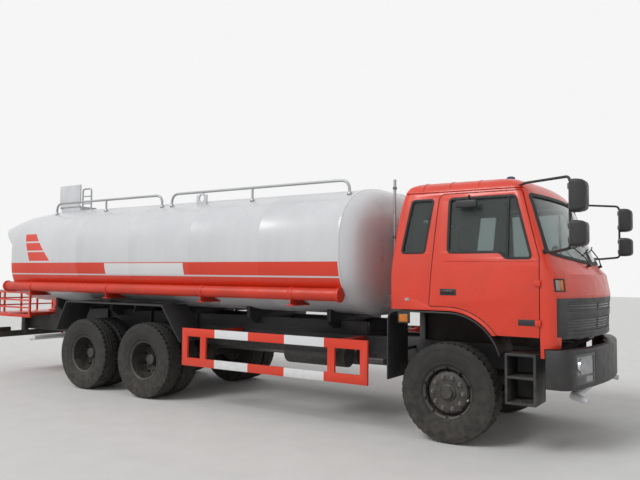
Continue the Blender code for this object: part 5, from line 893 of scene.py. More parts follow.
past = TAIL_END_X - 0.1
under = prism([(past, 1.1), (TAIL_MID_X, 1.1), (TAIL_MID_X, TAIL_CUT_Z), (TAIL_END_X, TAIL_LIP_Z),
               (past, TAIL_LIP_Z)], "Y", (-1.4, 1.4))
hollow = tail_rings(REAR_HEAD_X, WALL)
hollow.append([(past, y, z) for x, y, z in hollow[-1]])
barrel = rounded(cut(barrel, under, loft(hollow)), 0.003, 2, 50)
keep(barrel, "tank_barrel", tank_paint, "chassis", ["tank"], smooth=28)
print("barrel done")

# %% [markdown]
# The walkway rails are bent tube, so a curve with a round bevel makes them: the corner radius
# is then the bender's. Each post stands on a small welded pad, and the lifting lugs are plates
# with a flame-cut eye.

# %% Rails and lugs
RAIL_Y, RAIL_RADIUS, RAIL_CORNER, RAIL_TOP_Z, RAIL_DROP = 0.80, 0.018, 0.13, 2.90, 0.32
RAIL_ENDS = ((-1.35, -4.35), (-4.55, -7.05))
PAD_Z, PAD_HEIGHT = TANK_TOP_Z - 0.118, 0.028
LUG_X, LUG_TOP_Z, LUG_EYE_RADIUS = -3.76, 2.89, 0.045

for word, y in (("right", -RAIL_Y), ("left", RAIL_Y)):
    low = RAIL_TOP_Z - RAIL_DROP
    pieces = []
    for x0, x1 in RAIL_ENDS:
        path = [(x0, y, low), (x0, y, RAIL_TOP_Z), (x1, y, RAIL_TOP_Z), (x1, y, low)]
        pieces.append(pipe(path, RAIL_RADIUS, RAIL_CORNER, 5))
        middle = (x0 + x1) / 2
        pieces.append(bar((middle, y, low), (middle, y, RAIL_TOP_Z), RAIL_RADIUS * 0.85, 20))
        for x in (x0, middle, x1):
            pieces.append(bar((x, y, PAD_Z), (x, y * 0.995, PAD_Z + PAD_HEIGHT), 0.034, 24, 0.026))
    keep(merged(pieces), "top_rails_" + word, rail_paint, "chassis")
    crown = arc((LUG_X, LUG_TOP_Z - 0.055), 0.055, 0, 180, 8)
    lug = prism([(LUG_X - 0.10, low), (LUG_X + 0.10, low), (LUG_X + 0.095, LUG_TOP_Z - 0.03)]
                + crown + [(LUG_X - 0.095, LUG_TOP_Z - 0.03)], "Y", (y - 0.011, y + 0.011))
    eye_z = LUG_TOP_Z - 0.08
    eye = bar((LUG_X, y - 0.1, eye_z), (LUG_X, y + 0.1, eye_z), LUG_EYE_RADIUS, 40)
    keep(rounded(cut(lug, eye), 0.002), "lifting_lug_" + word, white_paint, "chassis")
print("rails and lugs done")

# %% [markdown]
# The hatch stands on a square neck. Neck, well and seal are boxes in line, each moved in from
# the neck's sides, so one helper makes them all. The hoop and the sight tube are bent tube.

# %% Hatch neck, hoop and sight tube
NECK_X, NECK_Y, NECK_RIM_Z = (-7.68, -7.14), (-0.27, 0.07), 2.91
HOOP_X, HOOP_Y, HOOP_Z, RUNGS_Z = (-7.06, -6.83), -0.29, (2.72, 3.21), (2.95, 3.08)
SIGHT_X, SIGHT_Y, SIGHT_Z = (-1.06, -0.93), -0.42, (1.50, 2.92)


def neck_box(inset, low, high):
    """A box moved in from the hatch neck's sides, between heights from its rim."""
    return box((NECK_X[0] + inset, NECK_X[1] - inset), (NECK_Y[0] + inset, NECK_Y[1] - inset),
               (NECK_RIM_Z + low, NECK_RIM_Z + high))


neck = rounded(cut(neck_box(0.0, -0.2, 0.0), neck_box(0.02, -0.09, 0.1)), 0.003)
keep(neck, "hatch_neck", white_paint, "chassis")
seal = cut(neck_box(0.008, -0.004, 0.006), neck_box(0.016, -0.05, 0.05))
keep(seal, "hatch_seal", seal_black, "chassis")
plates = [box((x, x + out * 0.012), (-0.297, -0.265), (NECK_RIM_Z - 0.02, 2.940))
          for x, out in ((-7.664, -1), (-7.156, 1))]
keep(rounded(merged(plates), 0.002), "lid_hinge_plates", white_paint, "chassis")

(x0, x1), (low, high) = HOOP_X, HOOP_Z
hoop = [(x0, HOOP_Y, low), (x0, HOOP_Y, high), (x1, HOOP_Y, high), (x1, HOOP_Y, low)]
rungs = [bar((x0, HOOP_Y, z), (x1, HOOP_Y, z), 0.010, 16) for z in RUNGS_Z]
keep(merged([pipe(hoop, 0.014, 0.05)] + rungs), "hatch_hoop", rail_paint, "chassis")

(x0, x1), (low, high) = SIGHT_X, SIGHT_Z
keep(pipe([(x0, SIGHT_Y, low), (x1, SIGHT_Y, low), (x1, SIGHT_Y, high)], 0.018, 0.06, 5),
     "sight_tube", rail_paint, "chassis")
collars = [bar((x1, SIGHT_Y, z), (x1, SIGHT_Y, z + 0.03), 0.026, 24) for z in (1.60, 2.2, 2.80)]
keep(rounded(merged(collars), 0.002), "sight_tube_collars", nut_steel, "chassis")
print("tank fittings done")

# %% [markdown]
# The suction hoses lie in long red tubes, one on each side, closed by a disc at each end and
# held by brackets on the tank's sill. They are bars, with straps turned round them.

# %% Hose tubes and their brackets
HOSE_Y, HOSE_Z, HOSE_RADIUS = -1.14, 1.515, 0.075
HOSE_ENDS = (-7.85, -1.27)
DISC_RADIUS, DISC_OUT, DISC_IN = 0.088, 0.012, 0.02
CLAMP_SHARES = (0.108, 0.39, 0.6775, 0.8985)


def bar_x(start_x, end_x, radius, sides=48, y=HOSE_Y, z=HOSE_Z):
    """A bar along the truck, on the hose tube's centre line unless a place is given."""
    return bar((start_x, y, z), (end_x, y, z), radius, sides)


rear, front = HOSE_ENDS
pieces = [bar_x(rear, front, HOSE_RADIUS),
          bar_x(front - DISC_IN, front + DISC_OUT, DISC_RADIUS, 64),
          bar_x(rear - DISC_OUT, rear + DISC_IN, DISC_RADIUS, 64)]
for share in CLAMP_SHARES:
    x = rear + (front - rear) * share
    pieces.append(bar_x(x - 0.03, x + 0.03, HOSE_RADIUS + 0.006))
    pieces.append(box((x - 0.05, x + 0.05), (HOSE_Y - 0.06, HOSE_Y + 0.30), (1.37, 1.385)))
    pieces.append(box((x - 0.006, x + 0.006), (HOSE_Y - 0.05, HOSE_Y + 0.28), (1.37, 1.47)))
keep_pair(rounded(merged(pieces), 0.003), "hose_tube_dressed", guard_red, CHASSIS_PAIR,
          ["hose_tube"])
bolts = [bar_x(front + 0.004, front + 0.022, 0.007, 6, y, z)
         for y, z in circle((HOSE_Y, HOSE_Z), 0.068, 6)]
keep_pair(merged(bolts), "hose_cap_bolts", nut_steel, CHASSIS_PAIR)
print("hose tubes done")

# %% [markdown]
# ## The cab's form
# One pressed body carries doors, glass and grille, so all of them are cut from one form: plan
# rings at ten levels, with the sides straight and creased below the windows and smoothly
# curved above. Anything that lies in the cab's skin is then that form between two insets,
# within an outline drawn from the side or the front. Gaps between panels come out even.

# %% Cab form
CAB_REAR_X, CAB_CORNER_X, CAB_FRONT_X, CAB_HALF_WIDTH = -0.63, 1.15, 1.40, 1.19
REAR_CORNER, FRONT_CORNER, CORNER_TURN = 0.09, 0.13, 25.0
CAB_LEVELS = (
    (0.965, 1.000, 0.987, 0.957, 0.983),
    (1.120, 1.000, 1.000, 0.982, 0.996),
    (1.571, 1.000, 1.000, 1.000, 1.000),
    (1.772, 1.000, 0.983, 0.971, 1.000),
    (1.850, 0.990, 0.952, 0.911, 0.995),
    (2.250, 0.913, 0.839, 0.800, 0.962),
    (2.600, 0.817, 0.735, 0.679, 0.916),
    (2.720, 0.738, 0.643, 0.593, 0.853),
    (2.770, 0.476, 0.487, 0.443, 0.689),
    (2.790, 0.111, 0.287, 0.264, 0.454),
)
CREASED_LEVELS = 4
LEVEL_STEPS = 6
BOW_STEPS = 9
EAVE_Z = 2.60
PANEL_GAP = 0.008
CAB_WALL = 0.045


def smooth_levels():
    """The levels with curved ones put in between from the cowl up."""
    points = [Vector(level) for level in CAB_LEVELS]
    gaps = [(b - a).length for a, b in zip(points, points[1:])]
    slopes = []
    for i in range(len(points)):
        before, after = max(0, i - 1), min(len(points) - 1, i + 1)
        slopes.append((points[after] - points[before]) / sum(gaps[before:after]))
    levels = [tuple(point) for point in points[:CREASED_LEVELS]]
    for i in range(CREASED_LEVELS, len(points) - 1):
        for k in range(LEVEL_STEPS):
            t = k / LEVEL_STEPS
            h = (2 * t**3 - 3 * t**2 + 1, t**3 - 2 * t**2 + t, 3 * t**2 - 2 * t**3, t**3 - t**2)
            levels.append(tuple(points[i] * h[0] + slopes[i] * (h[1] * gaps[i])
                                + points[i + 1] * h[2] + slopes[i + 1] * (h[3] * gaps[i])))
    return levels + [tuple(points[-1])]


def cab_ring(level, inset):
    """The cab's plan outline at one level, moved in by the inset."""
    z, rear_share, corner_share, front_share, half_share = level
    rear, corner = CAB_REAR_X * rear_share + inset, CAB_CORNER_X * corner_share - inset
    front, half = CAB_FRONT_X * front_share - inset, CAB_HALF_WIDTH * half_share - inset
    turn = math.radians(CORNER_TURN)
    small, big = REAR_CORNER - inset, FRONT_CORNER - inset
    side = arc((rear + small, half - small), small, 180, 90, 5)
    side += arc((corner - big * math.cos(turn), half - big), big, 90, CORNER_TURN, 7)
    edge = half - big * (1 - math.sin(turn))
    for k in range(BOW_STEPS - 1, 0, -1):
        share = k / BOW_STEPS
        side.append((corner + (front - corner) * (1 - share ** 2), edge * share))
    drop = inset if z > EAVE_Z else 0.0
    ring = side + [(front, 0)] + [(x, -y) for x, y in reversed(side)]
    return [(x, y, z - drop) for x, y in ring]


def form(inset=0.0):
    """The cab's outer form, or that form moved in by the inset."""
    return loft([cab_ring(level, inset) for level in smooth_levels()])

print("cab rings:", len(smooth_levels()))

# %% [markdown]
# Anything in the skin is cut the same way: the form at one inset, what an outline shares with
# it, less the form at a deeper inset. Two more helpers move an outline's edges in by a gap and
# round its corners, so panels, panes and seals share one drawing.

# %% Helpers for what lies in the skin
SIDE, FRONT, BACK = (-1.5, -0.9), (0.60, 1.6), (-0.75, -0.40)
FAR_X = 1.6
ACROSS = (-1.4, 1.4)


def layer(outer, inner, room):
    """What lies between two insets of the form, within a work object."""
    return cut(common(form(outer), room), form(inner))


def skin(outer, inner, outline, axis, ends):
    """What lies between two insets of the form, within an outline."""
    return layer(outer, inner, prism(outline, axis, ends))


def keep_strip(name, depths, x_ends, z_ends, finish, bodies, width=0.003, segments=2):
    """Keep a rounded band of the sides' skin between two lengths and two heights."""
    band = skin(*depths, rectangle(x_ends, z_ends), "Y", SIDE)
    keep_pair(rounded(band, width, segments), name, finish, bodies)


def shrunk(outline, gap):
    """An outline with every edge moved in by a gap, or out where the gap is negative."""
    count = len(outline)
    area = sum(outline[i][0] * outline[(i + 1) % count][1]
               - outline[(i + 1) % count][0] * outline[i][1] for i in range(count))
    way = gap if area > 0 else -gap
    lines = []
    for i in range(count):
        a, b = Vector(outline[i]), Vector(outline[(i + 1) % count])
        along = (b - a).normalized()
        lines.append((a + Vector((-along.y, along.x)) * way, along))
    moved = []
    for i in range(count):
        (a, first), (b, second) = lines[i - 1], lines[i]
        cross = first.x * second.y - first.y * second.x
        if abs(cross) < 0.02:
            moved.append(tuple(b))
            continue
        reach = ((b.x - a.x) * second.y - (b.y - a.y) * second.x) / cross
        moved.append(tuple(a + first * reach))
    return moved


def eased(outline, radius, steps=4, angle=18.0):
    """An outline with its sharper corners rounded."""
    result = []
    count = len(outline)
    for i in range(count):
        before, here, after = (Vector(outline[k]) for k in (i - 1, i, (i + 1) % count))
        back, on = before - here, after - here
        if math.degrees((-back).angle(on)) < angle:
            result.append(tuple(here))
            continue
        reach = min(radius, back.length * 0.45, on.length * 0.45)
        start, end = here + back.normalized() * reach, here + on.normalized() * reach
        for k in range(steps + 1):
            share = k / steps
            result.append(tuple(start.lerp(here, share).lerp(here.lerp(end, share), share)))
    return result

# %% [markdown]
# The outlines of doors and windows come from the photograph: the door's foot follows the wheel
# arch, and the window drops a step ahead of its quarter light.

# %% Outlines of doors and windows
ARCH_X, ARCH_Z, ARCH_RADIUS, ARCH_LIFT = 0.05, 0.80, 0.585, 0.035
SILL_Z = 1.155
DOOR_REAR_X, DOOR_REAR_TOP_X, DOOR_FRONT_X = -0.16, -0.075, 0.985
DOOR_TOP_Z = 2.615


def door_outline(foot=SILL_Z):
    """The door from the side."""
    radius = ARCH_RADIUS + ARCH_LIFT
    end = math.degrees(math.asin((SILL_Z - ARCH_Z) / radius))
    bow = arc((ARCH_X, ARCH_Z), radius, 90, end, 14)
    low = [(DOOR_FRONT_X, foot)]
    if foot < SILL_Z:
        low.insert(0, (bow[-1][0], foot))
    top = [(DOOR_FRONT_X, 1.927), (0.80, DOOR_TOP_Z), (-0.03, DOOR_TOP_Z),
           (DOOR_REAR_TOP_X, DOOR_TOP_Z - CAB_WALL)]
    return [(DOOR_REAR_X, ARCH_Z + radius)] + bow + low + top


WINDOW_LOW_Z, WINDOW_TOP_Z = 1.99, 2.555
door_window = eased([(0.05, WINDOW_LOW_Z), (0.60, WINDOW_LOW_Z), (0.65, 1.927), (0.905, 1.927),
                     (0.735, WINDOW_TOP_Z), (0.05, WINDOW_TOP_Z)], 0.04)
quarter_window = eased([(-0.476, WINDOW_LOW_Z), (-0.215, WINDOW_LOW_Z), (-0.135, WINDOW_TOP_Z),
                        (-0.375, WINDOW_TOP_Z)], 0.035)
half = [(0.0, 1.895), (0.446, 1.9094), (0.836, 1.9456), (1.115, 1.985), (1.035, 2.565)]
screen = eased(half + [(-y, z) for y, z in reversed(half[1:])], 0.05, 4, 40)
back_window = eased(rectangle((-0.52, 0.52), (2.02, 2.42)), 0.05)
print("outlines ready")

# %% [markdown]
# ## Cab shell
# The shell is the form less its room, the wheel arches, the door openings and the windows, just
# as the pressings leave it. The inside faces get a grey trim colour by the way they face, so
# red doesn't show through the glass.

# %% Shell
FLOOR_Z, FOOTWELL_Z, FOOTWELL_X = 1.43, 1.20, 0.56
GRILLE_X, GRILLE_LOW_Z, GRILLE_TOP_Z = 1.13, 1.17, 1.54
CAB_CENTRE = Vector((0.35, 0, 1.95))


def lined(piece, finish):
    """Give the faces that look into the cab a second finish."""
    piece.data.materials.append(finish)
    centre = SHIFT @ CAB_CENTRE
    for face in piece.data.polygons:
        inward = centre - face.center
        if face.normal.dot(inward.normalized()) > 0.12:
            face.material_index = 1


LAMP_BACK_X, LAMP_Y, LAMP_Z = 1.10, (-1.15, -1.03), (1.61, 1.72)


def lamp_box(grow, back_x=LAMP_BACK_X):
    """A box round the right-hand turn lamp's pocket, grown by a little."""
    return box((back_x, FAR_X), (LAMP_Y[0] - grow, LAMP_Y[1] + grow),
               (LAMP_Z[0] - grow, LAMP_Z[1] + grow))


low_room = box((FOOTWELL_X, FAR_X), ACROSS, (FOOTWELL_Z, 3.0))
high_room = box((CAB_REAR_X - 0.1, FOOTWELL_X + CAB_WALL), ACROSS, (FLOOR_Z, 3.0))
room = common(form(CAB_WALL), boolean(low_room, [high_room], "UNION"))
end = math.degrees(math.asin((SILL_Z - ARCH_Z) / ARCH_RADIUS))
arch = [(CAB_REAR_X - 0.1, 0.9), (CAB_REAR_X - 0.1, ARCH_Z + ARCH_RADIUS)]
arch += arc((ARCH_X, ARCH_Z), ARCH_RADIUS, 90, end, 16)
arch += [(DOOR_FRONT_X, SILL_Z), (DOOR_FRONT_X, 0.9)]
nose = box((DOOR_FRONT_X - 0.1, FAR_X), (-1.085, 1.085), (0.9, SILL_Z))
bumper_room = box((1.02, FAR_X + 0.05), ACROSS, (0.88, 1.06))
shell = cut(form(), bumper_room, nose, prism(arch, "Y", (-1.41, 1.41)), room)
pockets = (cut(prism(eased(door_outline(1.05), 0.03), "Y", SIDE), form(CAB_WALL + PANEL_GAP)),
           prism(quarter_window, "Y", SIDE), cut(lamp_box(0.0), form(0.03)))
door_hole, quarter_hole, lamp_hole = ((copied(item, MIRROR), item) for item in pockets)
grille_hole = cut(box((GRILLE_X, FAR_X), ACROSS, (GRILLE_LOW_Z, GRILLE_TOP_Z)), form(0.022))
shell = cut(shell, *door_hole, *quarter_hole, prism(screen, "X", FRONT),
            prism(back_window, "X", BACK), grille_hole, *lamp_hole)
shell = rounded(shell, 0.004, 2, 35)
keep(shell, "cab_body", red_paint, "cab", ["cab_shell"], smooth=24)
lined(bpy.data.objects["cab_body"], inside_grey)

pins = [bar((1.30, y - 0.03, 1.14), (1.30, y + 0.03, 1.14), 0.022) for y in (-0.40, 0.40)]
keep(merged(pins), "tilt_pins", steel, "cab")
print("cab shell done")

# %% [markdown]
# ## Doors and glass
# A door is the same skin within its own outline, 8 mm smaller than its opening. It rides on its
# own body, so it swings, and its seals, glass, handle and trim go with it. Panes are skins too,
# a little inset, and a rubber moulding runs round each, from just outside the paint to inside.

# %% Doors
panel = skin(0.0, CAB_WALL, shrunk(eased(door_outline(), 0.03), PANEL_GAP), "Y", SIDE)
panel = rounded(cut(panel, prism(door_window, "Y", SIDE)), 0.004, 2, 35)
keep_pair(panel, "door_panel", red_paint, DOOR_PAIR, ["door"])
for word in ("right", "left"):
    lined(bpy.data.objects["door_panel_" + word], inside_grey)
keep_strip("door_fold", (-0.007, 0.004), (0.02, 0.97), (1.897, 1.911), red_paint, DOOR_PAIR,
           0.005, 3)
print("door panels done")

# %% Panes and seals
GLASS, GLASS_LAP = 0.006, 0.004


def pane(outline, axis, ends, depth=0.018):
    """A sheet of glass in the skin, a little wider than its opening."""
    return skin(depth, depth + GLASS, shrunk(outline, -GLASS_LAP), axis, ends)


def seal_ring(outline, axis, ends, depths=(-0.004, 0.032), lap=0.013, bore=0.012):
    """A rubber moulding that laps a window's edge and leaves a bore for the view."""
    ring = skin(*depths, shrunk(outline, -lap), axis, ends)
    return rounded(cut(ring, prism(shrunk(outline, bore), axis, ends)), 0.003)


keep_pair(pane(door_window, "Y", SIDE), "door_pane", cab_glass, DOOR_PAIR, ["door_glass"])
keep_pair(seal_ring(door_window, "Y", SIDE, (-0.004, 0.036)), "door_seal", seal_black, DOOR_PAIR)
keep_strip("window_divider", (0.002, 0.034), (0.655, 0.679), (1.935, WINDOW_TOP_Z - 0.006),
           seal_black, DOOR_PAIR)
print("door glass done")

# %% [markdown]
# The small things of the skin are bands of it that stand out by a few millimetres: the blank
# plate, the handle's dish, the rain gutter, the roof's beads and a reflector. The handle and
# the hinges stand clear of the skin, so they are boxes and bars.

# %% Handles, hinges and trim
HINGE_Z, HINGE_Y, KNUCKLE = (1.30, 1.68), -1.203, 0.06
keep_strip("blank_plate", (-0.003, 0.006), (0.777, 0.948), (1.27, 1.33), gloss_black, DOOR_PAIR,
           0.002)
keep_strip("handle_dish", (-0.002, 0.004), (-0.03, 0.146), (1.545, 1.612), plastic_black,
           DOOR_PAIR, 0.0015)
grip = box((-0.016, 0.115), (-1.213, -1.203), (1.572, 1.596))
feet = [box((x, x + 0.02), (-1.206, -1.188), (1.575, 1.593)) for x in (-0.012, 0.09)]
lock = bar((0.13, -1.188, 1.585), (0.13, -1.200, 1.585), 0.008, 20)
keep_pair(rounded(merged([grip, lock] + feet), 0.004, 3), "door_handle", gloss_black, DOOR_PAIR)
hinges = []
for z in HINGE_Z:
    low, high = z - KNUCKLE / 2, z + KNUCKLE / 2
    hinges.append(bar((DOOR_FRONT_X, HINGE_Y, low), (DOOR_FRONT_X, HINGE_Y, high), 0.011, 20))
    hinges.append(box((DOOR_FRONT_X - 0.045, DOOR_FRONT_X), (-1.206, -1.185),
                      (low + 0.004, high - 0.004)))
keep_pair(rounded(merged(hinges), 0.002), "hinge_leaf", red_paint, DOOR_PAIR)

# %% Quarter, front and rear glass
keep_pair(pane(quarter_window, "Y", SIDE), "quarter_pane", cab_glass, CAB_PAIR,
          ["quarter_glass"])
keep_pair(seal_ring(quarter_window, "Y", SIDE, bore=0.011), "quarter_seal", seal_black, CAB_PAIR)
keep(pane(screen, "X", FRONT, 0.012), "screen_pane", cab_glass, "cab", ["windscreen"], smooth=60)
keep(seal_ring(screen, "X", FRONT, (-0.005, 0.030), 0.020, 0.016), "screen_seal", seal_black,
     "cab")
keep(pane(back_window, "X", BACK), "back_pane", cab_glass, "cab", ["back_glass"])
keep(seal_ring(back_window, "X", BACK), "back_seal", seal_black, "cab")
print("glass done")

# %% Gutter, beads and reflector
keep_strip("rain_gutter", (-0.010, 0.006), (-0.47, 0.80), (2.640, 2.654), red_paint, CAB_PAIR)
for number, x in enumerate((-0.28, 0.02, 0.33)):
    keep_strip("roof_bead_%d" % number, (-0.004, 0.006), (x - 0.012, x + 0.012), (2.662, 2.775),
               red_paint, CAB_PAIR)
keep_strip("side_reflector", (-0.004, 0.006), (-0.43, -0.375), (1.475, 1.505), lens_clear,
           CAB_PAIR)
print("trim done")

# %% [markdown]
# ## The black front panel and its louvres
# The panel wraps round both corners, with two sunk fields of louvres across the front. The
# fields are cut out of the outer skin, a dark back closes them, and the louvres are a comb of
# slats, all cut to the cab's curve at once.

# %% Grille
FIELDS = ((1.412, 1.492, 3), (1.215, 1.345, 5))
FIELD_BACK_X, FIELD_HALF_WIDTH = 1.2, 1.02
COVER_DEPTH, BACK_DEPTH = 0.0135, 0.0215
SLAT, SLAT_LAP, RIB = 0.011, 0.005, 0.012
RIBS_Y = (-0.34, 0.34)


def field_box(y_ends, low, high):
    """A box through the front panel, between two heights."""
    return box((FIELD_BACK_X, FAR_X), y_ends, (low, high))


def panel_band(gap):
    """A box round the front panel's band, smaller all round by a gap."""
    return box((GRILLE_X + gap, FAR_X), ACROSS, (GRILLE_LOW_Z + gap, GRILLE_TOP_Z - gap))


fields = [field_box((-FIELD_HALF_WIDTH, FIELD_HALF_WIDTH), low, high)
          for low, high, count in FIELDS]
cover = rounded(cut(layer(0.0, COVER_DEPTH, panel_band(0.001)), merged(fields)), 0.003)
keep(cover, "grille_cover", plastic_black, "cab", ["grille_panel"])
keep(layer(0.0132, BACK_DEPTH, panel_band(0.002)), "grille_back", gloss_black, "cab")
slats = []
for low, high, count in FIELDS:
    for k in range(count):
        z = low + (high - low) / count * (k + 0.5)
        slats.append(field_box((-FIELD_HALF_WIDTH - SLAT_LAP, FIELD_HALF_WIDTH + SLAT_LAP),
                               z - SLAT / 2, z + SLAT / 2))
ribs = [field_box((y - RIB / 2, y + RIB / 2), FIELDS[1][0], FIELDS[0][1]) for y in RIBS_Y]
lip = box((GRILLE_X + 0.002, FAR_X), (-1.083, 1.083), (1.146, GRILLE_LOW_Z + 0.004))
for name, outer, inner, room, width in (("louvres", 0.003, 0.0134, merged(slats), 0.002),
                                        ("ribs", 0.006, 0.0134, merged(ribs), 0.002),
                                        ("lip", -0.003, 0.02, lip, 0.003)):
    keep(rounded(layer(outer, inner, room), width), "grille_" + name, plastic_black, "cab")
print("front panel done")

# %% Turn lamps
lamp = layer(0.001, 0.029, lamp_box(-0.001))
keep_pair(rounded(lamp, 0.004, 2), "turn_lens", lens_amber, CAB_PAIR, ["turn_lamp"])
clear = layer(-0.0015, 0.004, box((LAMP_BACK_X, FAR_X), (-1.149, -1.105), (1.616, 1.714)))
keep_pair(rounded(clear, 0.002), "turn_lens_clear", lens_clear, CAB_PAIR)
surround = cut(layer(-0.003, 0.008, lamp_box(0.007)), lamp_box(-0.004, 1.0))
keep_pair(rounded(surround, 0.0015), "turn_lamp_frame", seal_black, CAB_PAIR)
print("turn lamps done")

# %% [markdown]
# ## Side guards
# The guards keep people from the wheels, and are painted in red and white blocks. The solid's
# own form is right, so it only gets softer edges, and the blocks are bands along X in its paint.

# %% Guard paint
WHITE_BLOCKS_X = ((-3.11, -2.56), (-2.005, -1.44))

guard = Tree("guard_paint", RED, 0.34)
white = guard.math("MAXIMUM", *(guard.band(guard.x, *ends) for ends in WHITE_BLOCKS_X))
wear(guard, guard.mix(white, RED, SILVER), 0.9, 0.30, 3.0, (0.30, 0.44), 8.0)
guard.bump(guard.noise(200.0, 2.0), 0.03, GRAIN_DEPTH)
for word in ("right", "left"):
    softened("side_guard_" + word, guard.material, 0.005)
print("side guards done")

# %% [markdown]
# ## Bumper and lamps
# The bumper is a moulding bowed in plan. Its lamps sit in pockets: a black bezel, bright bowls,
# and a clear lens that follows the bumper's bow. Lens and bezel are the bumper's own plan moved
# in by a little, so the three stay flush all along the curve.

# %% Headlamps
BUMPER_END_X, BUMPER_CORNER_X, BUMPER_FRONT_X, BUMPER_HALF_WIDTH = 1.03, 1.27, 1.45, 1.19
BUMPER_CORNER, BUMPER_Z, BOW_COUNT = 0.12, (0.68, 1.05), 10
HEAD_Y, HEAD_Z, HEAD_FLOOR_X = (-1.02, -0.70), (0.81, 0.985), 1.265
FOG_Y, FOG_Z, FOG_FLOOR_X = (-0.84, -0.70), (0.735, 0.790), 1.30
BOWL_Z, BOWLS_Y, BOWL_RADIUS, BOWL_DEPTH = 0.8975, (-0.942, -0.778), 0.074, 0.045
BOWL_SHARES = ((0.0, 1.02), (1.0, 1.02), (1.0, 0.96), (0.55, 0.80), (0.25, 0.50), (0.12, 0.12))


def bumper_block(inset):
    """The bumper's outer form as one block, bowed in plan and moved in by the inset."""
    half, front = BUMPER_HALF_WIDTH - inset, BUMPER_FRONT_X - inset
    centre = (BUMPER_CORNER_X - inset - BUMPER_CORNER, half - BUMPER_CORNER)
    side = [(BUMPER_END_X, half)] + arc(centre, BUMPER_CORNER, 90, 25, 8)
    edge_x, edge_y = side[-1]
    for k in range(BOW_COUNT - 1, 0, -1):
        share = k / BOW_COUNT
        side.append((edge_x + (front - edge_x) * (1 - share ** 2), edge_y * share))
    return prism(side + [(front, 0)] + [(x, -y) for x, y in reversed(side)], "Z", BUMPER_Z)


def bowl(x, y):
    """A lamp's reflector, open to the front."""
    return loft([[(x + BOWL_DEPTH * out, *point)
                  for point in circle((y, BOWL_Z), BOWL_RADIUS * share, 40)]
                 for out, share in BOWL_SHARES])


softened("bumper", plastic_black, 0.010)
bezel = common(bumper_block(0.003), box((1.2295, FAR_X), (-1.0595, -0.6605), (0.7205, 1.0095)))
bezel = cut(bezel, box((HEAD_FLOOR_X, FAR_X), HEAD_Y, HEAD_Z),
            box((FOG_FLOOR_X, FAR_X), FOG_Y, FOG_Z))
keep_pair(rounded(bezel, 0.003), "lamp_bezel", gloss_black, CHASSIS_PAIR, ["headlamp"])
keep_pair(merged([bowl(HEAD_FLOOR_X + 0.001, y) for y in BOWLS_Y]), "lamp_bowl", reflector,
          CHASSIS_PAIR)
bulbs = [bar((1.27, y, BOWL_Z), (1.305, y, BOWL_Z), 0.012, 20) for y in BOWLS_Y]
keep_pair(rounded(merged(bulbs), 0.004, 3), "lamp_bulb", lens_clear, CHASSIS_PAIR)
for word, ys, zs in (("head", HEAD_Y, HEAD_Z), ("fog", FOG_Y, FOG_Z)):
    room = box((1.2, FAR_X), (ys[0] + 0.001, ys[1] - 0.001), (zs[0] + 0.001, zs[1] - 0.001))
    keep_pair(cut(common(bumper_block(0.008), room), bumper_block(0.015)), word + "_lens",
              lens_clear, CHASSIS_PAIR)
keep_pair(box((1.301, 1.306), (FOG_Y[0] + 0.002, FOG_Y[1] - 0.002),
              (FOG_Z[0] + 0.002, FOG_Z[1] - 0.002)), "fog_back", reflector, CHASSIS_PAIR)
print("headlamps done")

# %% [markdown]
# ## Mirrors, wipers, dome lamp
# The mirrors hang on a tube bent round two corners; a path with rounded corners is enough. The
# housings are boxes with wide rounded edges, and the mirror plates face the rear.

# %% Mirrors
MIRROR_BACK_X, MIRROR_Y, MIRROR_HALF_WIDTH = 1.332, -1.45, 0.095
MIRRORS_Z = ((2.33, 2.62), (2.02, 2.25))
PLATE_EDGE = 0.012
HOUSING_STEPS = ((0.0, 1.0), (0.06, 1.0), (0.105, 0.95), (0.132, 0.84), (0.142, 0.66))
ARM_X, CLAMPS_Z = 1.323, (2.36, 2.54, 2.05, 2.18)
ARM = ((0.72, -1.0, 2.655), (0.8325, -1.1125, 2.669), (ARM_X, MIRROR_Y, 2.655),
       (ARM_X, MIRROR_Y, 2.004), (1.1125, -1.2225, 1.976), (1.00, -1.11, 1.99))

pieces = [pipe(ARM, 0.013, 0.05, 4)]
pieces += [bar((0.70, -0.985, 2.650), (0.745, -1.025, 2.658), 0.026, 24),
           bar((0.985, -1.10, 1.990), (1.03, -1.14, 1.986), 0.026, 24)]
pieces += [bar((ARM_X, MIRROR_Y, z), (ARM_X, MIRROR_Y, z + 0.05), 0.021, 24) for z in CLAMPS_Z]
keep_pair(rounded(merged(pieces), 0.002), "mirror_arm", plastic_black, CAB_PAIR)
housings, plates = [], []
for low, high in MIRRORS_Z:
    middle = (low + high) / 2
    back = eased(rectangle((MIRROR_Y - MIRROR_HALF_WIDTH, MIRROR_Y + MIRROR_HALF_WIDTH),
                           (low, high)), 0.03, 6)
    housings.append(loft([[(MIRROR_BACK_X + out, MIRROR_Y + (y - MIRROR_Y) * scale,
                            middle + (z - middle) * scale) for y, z in back]
                          for out, scale in HOUSING_STEPS]))
    half = MIRROR_HALF_WIDTH - PLATE_EDGE
    face = eased(rectangle((MIRROR_Y - half, MIRROR_Y + half),
                           (low + PLATE_EDGE, high - PLATE_EDGE)), 0.024, 6)
    plates.append(prism(face, "X", (1.3295, 1.335)))
keep_pair(rounded(merged(housings), 0.004, 2, 50), "mirror_housing", plastic_black, CAB_PAIR,
          ["mirror"])
keep_pair(merged(plates), "mirror_plate", mirror_silver, CAB_PAIR)

kerb = rounded(box((0.14, 0.37), (-1.205, -1.165), (2.445, 2.525)), 0.016, 4)
bracket = bar((0.255, -1.185, 2.50), (0.255, -1.10, 2.585), 0.008, 16)
keep(merged([kerb, bracket]), "kerb_mirror", plastic_black, "door_right")
print("mirrors done")

# %% [markdown]
# The wipers rest on the glass. A helper gives the point of the windscreen at a width and a
# height, moved off it by a little, so arm and blade follow the curve without guesswork.

